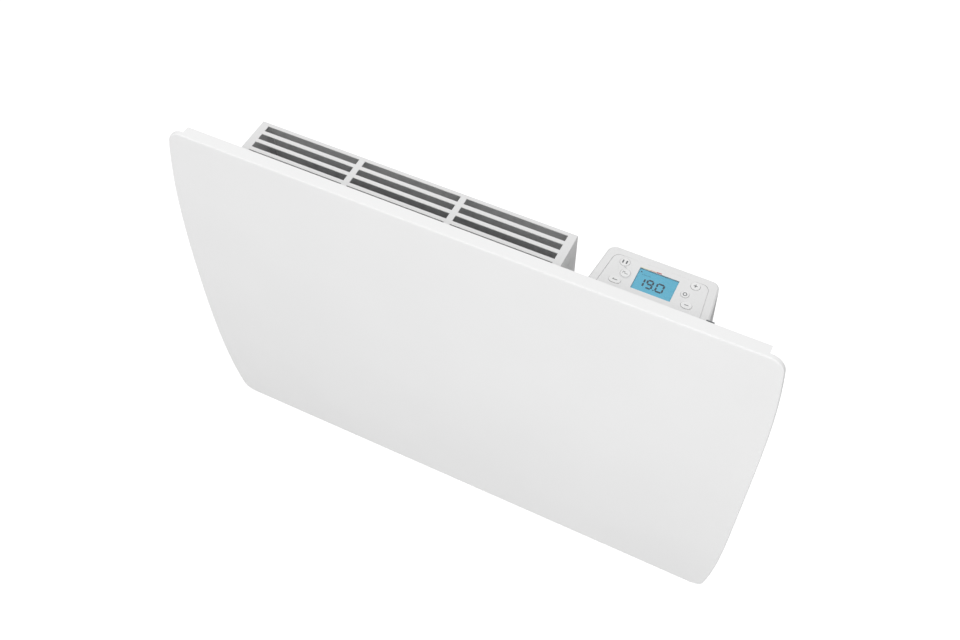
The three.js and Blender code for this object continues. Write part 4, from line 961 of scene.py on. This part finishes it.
# all in millimetres; the profiles are pairs of radius and distance along the axis
HEAD_RADIUS, HEAD_HEIGHT = 3.6, 2.2
SCREW_HEAD = [(3.6, 0), (3.6, 0.9), (3.3, 1.5), (2.5, 2), (1.2, 2.2), (0, 2.2)]
SCREW_SHANK = [(0, -10), (1.1, -10), (1.8, -8.6), (1.8, 0)]
SCREW_SEAT = -0.05  # a casing screw's head is sunk this far
RECESS = (0.9, 3.4, 1.3)  # cross recess: width, length, depth
CASING_SCREW_Z = (-195, -60, 60, 148)
CASING_SCREW_INSET = 6
LATCH_PIN = [(0, 76), (2.6, 76), (3, 76.4), (3, 77.7), (1.9, 77.7), (1.9, 90.6), (4, 90.6),
             (4, 91.4), (3.6, 91.9), (2.4, 92.3), (0, 92.3)]
GRIP_RIBS = (127.5, 129.7, 131.9, 134.1)
GRIP_RIB_HEIGHT, GRIP_RIB_EDGE = 0.9, 0.25
GRIP_REACH = (-0.3, 0.6)  # across the latch's outer face
GRIP_SPAN = (13.5, 1.5)  # from the latch's back
SPACER = [(0, 0), (10, 0), (10, 1.2), (9.5, 1.8), (8.25, 23), (7.7, 24.4), (6.6, 25), (3.4, 25),
          (2.8, 24.2), (2.8, 18), (0, 18)]
GLAND_SLEEVE = [(4.2, 18), (8, 18), (8, 9), (9.6, 9), (9.6, 3.6), (9.2, 2.4), (8.2, 0.6),
                (7.2, 0), (5.6, 0), (4.8, 0.5), (4.2, 1.4), (4.2, 18)]
GLAND_NUT = [(6, 9), (11, 9), (11, 4.8), (10.3, 4.2), (6, 4.2), (6, 9)]
SENSOR_PROBE = [(0, 0), (1.1, 0.2), (2, 0.8), (2.6, 2), (2.6, 11.7), (4.6, 12), (5, 12.4),
                (5, 14), (3, 14), (3, 19), (0, 19)]
ROD_RADIUS, ROD_END, ROD_EDGE = 4, 3.6, 0.4
BUSH = [(4.3, -4.8), (6, -4.8), (6, -2), (8, -2), (8, -0.4), (7.6, 0), (4.7, 0), (4.3, -0.4),
        (4.3, -4.8)]
THREAD = [(2.0 - 0.25 * (k % 2), 1.6 + 0.3 * k) for k in range(15)]
STUD = [(0, 0), (4, 0), (4, 1.5), (2, 1.5)] + THREAD + [(1.6, 6), (0, 6)]
CUTOUT_CASE = [(0, 0), (12, 0), (12, -1), (8.4, -1), (8, -1.4), (8, -8.4), (7.4, -9), (0, -9)]
BLADE = (4, 0.4, 3.15, 8.5)  # from the middle, half thickness, half width, from the top
BLADE_EDGE = 0.2
WELD = (2.7, 2.2)  # outer and inner radius of a weld's ring
WELD_PLACES = [(-73, 6), (-62, -6), (62, -6), (73, 6)]  # x, and z from the bar's middle
WELD_LIFT, WELD_SINK, WELD_EDGE = 0.02, 0.05, 0.01
ROCKER_PIVOT = (261.8, -52.35, 60.0)
ROCKER_REST = math.radians(7)
ROCKER_FACE = (1.2, 2.4, 10.9)  # hollow middle, proud ends, half height
ROCKER_MARK = 6  # from the rocker's middle to each mark
ROCKER_ON = (0.6, 2.2)  # half width, half height
ROCKER_OFF = (2.3, 1.5)  # outer and inner radius


def scaled(profile, along=0.0, side=1):
    """A profile in metres, mirrored for the left side and shifted along its axis."""
    return [(radius * MM, (along + side * distance) * MM) for radius, distance in profile]


def fitting(node, name, profile, axis, at, material, side=1, sides=32, angle=40.0):
    """A turned piece shown in place of a CAD node."""
    stands_for(turned(name, scaled(profile, 0, side), axis, at, material, sides, angle), node)


def carved(obj, cutters):
    """obj with other closed shapes cut out of it."""
    for cutter in cutters:
        modifier = obj.modifiers.new("cut", "BOOLEAN")
        modifier.operation = "DIFFERENCE"
        modifier.solver = "EXACT"
        modifier.object = cutter
    mesh = evaluated_mesh(obj)
    obj.modifiers.clear()
    obj.data = mesh
    mesh.name = obj.name
    for cutter in cutters:
        bpy.data.objects.remove(cutter)
    smooth_by_angle(mesh, 35.0)
    return even_normals(obj)


def cross(axis, at, outward):
    """The two bars of a cross recess sunk into a screw head whose top is at a point."""
    width, length, depth = (value * MM for value in RECESS)
    bars = []
    for wide, tall in ((width, length), (length, width)):
        sides = {"x": (None, wide, tall), "y": (wide, None, tall)}[axis]
        spans = []
        for middle, size in zip(at, sides):
            if size is None:
                spans.append(tuple(sorted((middle - outward * depth, middle + outward * MM))))
            else:
                spans.append((middle - size / 2, middle + size / 2))
        bars.append(block("recess", *spans, SCREW_STEEL, 0.12 * MM))
    return bars


def panel_screws():
    for side_name, side in SIDES.items():
        for level in ("bottom", "top"):
            node = f"panel_screw_{side_name}_{level}"
            low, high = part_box(node)
            at = (high.x if side > 0 else low.x, *middle_of(node)[1:])
            profile = scaled(SCREW_SHANK + SCREW_HEAD, -side * HEAD_HEIGHT, side)
            screw = turned(node + "_steel", profile, "x", at, SCREW_STEEL, 32, 35.0)
            stands_for(carved(screw, cross("x", at, side)), node)


def casing_screws():
    """Screws that hold the rear panel to the side sheets."""
    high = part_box("rear_panel")[1]
    rim = (HEAD_RADIUS, SCREW_SEAT)
    heads = []
    for side in SIDES.values():
        for height in CASING_SCREW_Z:
            at = (side * (high.x - CASING_SCREW_INSET * MM), high.y + HEAD_HEIGHT * MM, height * MM)
            head = turned("casing_screw", scaled([rim] + SCREW_HEAD, -HEAD_HEIGHT), "y", at,
                          SCREW_STEEL, 32, 35.0)
            closed = turned("seat", scaled([rim, (0, SCREW_SEAT)], -HEAD_HEIGHT), "y", at,
                            SCREW_STEEL, 32)
            heads.append(carved(joined("casing_screw", [head, closed]), cross("y", at, 1)))
    detail(joined("casing_screws", heads), "screw_steel")


def latch_pins():
    for name, side in SIDES.items():
        node = f"latch_pin_{name}"
        at = (0.0, *middle_of(node)[1:])
        fitting(node, node + "_steel", LATCH_PIN, "x", at, SCREW_STEEL, side)


def latch_grips():
    """Ridges for the finger on each latch's outer face."""
    for name, side in SIDES.items():
        low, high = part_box(f"latch_{name}")
        face = side * max(abs(low.x), abs(high.x))
        x = tuple(sorted(face + side * reach * MM for reach in GRIP_REACH))
        y = tuple(high.y - inset * MM for inset in GRIP_SPAN)
        ribs = [block("rib", x, y, (z * MM, (z + GRIP_RIB_HEIGHT) * MM), GREY_PLASTIC,
                      GRIP_RIB_EDGE * MM) for z in GRIP_RIBS]
        detail(joined(f"latch_grip_{name}", ribs), "grey_plastic", f"bracket_latch_{name}")


def wall_spacers():
    for name in SIDES:
        node = f"wall_spacer_{name}"
        x, _, z = middle_of(node)
        at = (x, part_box(node)[0].y, z)
        fitting(node, node + "_rubber", SPACER, "y", at, GREY_PLASTIC, 1, 48, 35.0)


def foot_fittings():
    foot = (*middle_of("cable_gland")[:2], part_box("cable_gland")[0].z)
    gland = [turned("gland_sleeve", scaled(GLAND_SLEEVE), "z", foot, BLACK_PLASTIC, 48, 35.0),
             turned("gland_nut", scaled(GLAND_NUT), "z", foot, BLACK_PLASTIC, 6, 20.0)]
    stands_for(joined("gland_body", gland), "cable_gland")
    foot = (*middle_of("room_sensor")[:2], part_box("room_sensor")[0].z)
    fitting("room_sensor", "sensor_probe", SENSOR_PROBE, "z", foot, CONTROL_PLASTIC)


def element_fittings():
    low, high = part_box("element_rod")
    y, z = middle_of("element_rod")[1:]
    radius, end, edge = ROD_RADIUS * MM, ROD_END * MM, ROD_EDGE * MM
    rod = [(0.0, low.x), (end, low.x), (radius, low.x + edge), (radius, high.x - edge),
           (end, high.x), (0.0, high.x)]
    stands_for(turned("rod_sheath", rod, "x", (0.0, y, z), ROD_STEEL, 32), "element_rod")
    for name, side in SIDES.items():
        node = f"element_bush_{name}"
        low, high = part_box(node)
        out = high.x if side > 0 else low.x
        fitting(node, node + "_body", BUSH, "x", (out, y, z), STEATITE, side, 40)
        node = f"element_terminal_{name}"
        low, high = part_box(node)
        root = low.x if side > 0 else high.x
        fitting(node, node + "_stud", STUD, "x", (root, y, z), SCREW_STEEL, side)
    low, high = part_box("thermal_cutout")
    x, _, z = middle_of("thermal_cutout")
    fitting("thermal_cutout", "cutout_case", CUTOUT_CASE, "y", (x, high.y, z), BLACK_PLASTIC, 1,
            40)
    away, thin, wide, drop = (size * MM for size in BLADE)
    blades = [block("blade", (x + side * away - thin, x + side * away + thin),
                    (low.y, high.y - drop), (z - wide, z + wide), SCREW_STEEL, BLADE_EDGE * MM)
              for side in SIDES.values()]
    detail(joined("cutout_blades", blades), "screw_steel")


def bracket_welds():
    """Rings left by spot welding where the bars cross the rails."""
    outer, inner = (radius * MM for radius in WELD)
    rings = []
    for level in ("top", "middle", "bottom"):
        high, middle_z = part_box(f"bracket_bar_{level}")[1], middle_of(f"bracket_bar_{level}")[2]
        for x, z in WELD_PLACES:
            at = (x * MM, middle_z + z * MM)
            rings.append(plate("weld", circle(*at, outer), [circle(*at, inner)],
                               high.y - WELD_SINK * MM, high.y + WELD_LIFT * MM, WELD_EDGE * MM,
                               SHADE_AND_WELD_GREY, "y"))
    detail(joined("bracket_welds", rings), "bracket_steel")


def rocker_marks():
    """On and off marks on the two halves of the rocker."""
    hollow, proud, half = ROCKER_FACE
    slope = math.atan2(proud - hollow, half)
    wide, tall = (size * MM for size in ROCKER_ON)
    outer, inner = (circle(0, 0, radius * MM) for radius in ROCKER_OFF)
    for word, loop, holes, end in (("on", rectangle(-wide, wide, -tall, tall), [], 1),
                                   ("off", outer, [inner], -1)):
        mark = plate(f"rocker_mark_{word}", loop, holes, 0.0, 2 * PRINT, 0.01 * MM,
                     BUTTON_PLASTIC, "x")
        place = Matrix.Translation([value * MM for value in ROCKER_PIVOT])
        place @= Matrix.Rotation(ROCKER_REST, 4, "Y")
        place @= Matrix.Translation((hollow * MM, 0.0, 0.0)) @ Matrix.Rotation(end * slope, 4, "Y")
        place @= Matrix.Translation((0.0, 0.0, end * ROCKER_MARK * MM))
        mark.data.transform(place)
        detail(mark, "button_plastic", "power_rocker")

# ---------- studio

WORLD_LIGHT = 0.84
LAMPS = [  # name, place, size and power; each points at the origin
    ("top_softbox", (-0.5, 0.2, 2.6), (2.6, 2.2), 16.0),
    ("front_softbox", (0.4, -2.7, -0.3), (2.4, 2.2), 41.5),
]
FLOOR_DROP = 0.55  # the floor lies this far below the panel
FLOOR_HALF = 12.0
FLOOR_TONES = (0.33, 0.34)
FLOOR_GLOW = 0.8


def grey(value):
    return (value, value, value, 1.0)


def camera_rays(tree):
    """1 for what the camera sees, also through the screen's window, and 0 for light."""
    path = tree.nodes.new("ShaderNodeLightPath")
    seen = tree.nodes.new("ShaderNodeMath")
    seen.operation = "MAXIMUM"
    tree.links.new(path.outputs["Is Camera Ray"], seen.inputs[0])
    tree.links.new(path.outputs["Is Transmission Ray"], seen.inputs[1])
    return seen.outputs[0]


def studio():
    """White behind everything, an even light all round and two soft lamps."""
    world = bpy.data.worlds.new("studio_world")
    bpy.context.scene.world = world
    world.use_nodes = True
    tree = world.node_tree
    tree.nodes.clear()
    mix = tree.nodes.new("ShaderNodeMixShader")
    tree.links.new(camera_rays(tree), mix.inputs["Fac"])
    for socket, strength in ((1, WORLD_LIGHT), (2, 1.0)):
        light = tree.nodes.new("ShaderNodeBackground")
        light.inputs["Color"].default_value = grey(1.0)
        light.inputs["Strength"].default_value = strength
        tree.links.new(light.outputs[0], mix.inputs[socket])
    out = tree.nodes.new("ShaderNodeOutputWorld")
    tree.links.new(mix.outputs[0], out.inputs["Surface"])
    for name, place, size, power in LAMPS:
        lamp = bpy.data.lights.new(name, "AREA")
        lamp.shape = "RECTANGLE"
        lamp.size, lamp.size_y = size
        lamp.energy = power
        obj = placed(name, lamp)
        obj.location = place
        obj.rotation_euler = (-Vector(place)).to_track_quat("-Z", "Y").to_euler()


def floor():
    """A plain floor far below, which glows toward the camera and so ends in white."""
    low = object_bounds()[0]
    mesh = bpy.data.meshes.new("studio_floor")
    corners = rectangle(-FLOOR_HALF, FLOOR_HALF, -FLOOR_HALF, FLOOR_HALF)
    mesh.from_pydata([(x, y, low.z - FLOOR_DROP) for x, y in corners], [], [(0, 1, 2, 3)])
    m = Nodes("floor_paint")
    m.colour(m.blend(m.ramp(m.noise(3.0, 2.0), 0.0, 1.0), *(grey(tone) for tone in FLOOR_TONES)))
    m.set(Roughness=1.0, Specular_IOR_Level=0.0)
    strength = m.add("ShaderNodeMath", operation="MULTIPLY")
    m.link(camera_rays(m.tree), strength.inputs[0])
    strength.inputs[1].default_value = FLOOR_GLOW
    glow = m.add("ShaderNodeEmission")
    m.link(strength.outputs[0], glow.inputs["Strength"])
    both = m.add("ShaderNodeAddShader")
    m.link(m.shader.outputs[0], both.inputs[0])
    m.link(glow.outputs[0], both.inputs[1])
    m.link(both.outputs[0], m.tree.nodes["Material Output"].inputs["Surface"])
    new_object("studio_floor", mesh, m.material)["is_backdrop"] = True


def camera():
    data = bpy.data.cameras.new("photo_camera")
    data.sensor_width = SENSOR
    data.lens = CAMERA_LENS
    data.clip_start, data.clip_end = 0.01, 100.0
    obj = placed("photo_camera", data)
    obj.location = CAMERA_AT
    turn = CAMERA_FORWARD.to_track_quat("-Z", "Y").to_matrix()
    obj.rotation_euler = (turn @ Matrix.Rotation(CAMERA_ROLL, 3, "Z")).to_euler()
    bpy.context.scene.camera = obj

# ---------- assembly

# rounding the edges of the switch's opening would draw a line across this sheet
SHARP_NODES = {"side_panel_right": 0.0}

bpy.context.scene.view_settings.view_transform = "Standard"
for node_name in frame["nodes"]:
    dress(node_name, SHARP_NODES.get(node_name, SOFT_EDGE))

front_panel()
slotted("outlet_grille_sheet", "outlet_grille", GRILLE, 0.4 * MM)
slotted("inlet_grille_sheet", "inlet_grille", INLET, 0.2 * MM)
control_cover()
control_housing()
buttons()
key_pad()
screen_marks()
panel_screws()
casing_screws()
latch_pins()
latch_grips()
wall_spacers()
foot_fittings()
element_fittings()
bracket_welds()
rocker_marks()

studio()
floor()
camera()
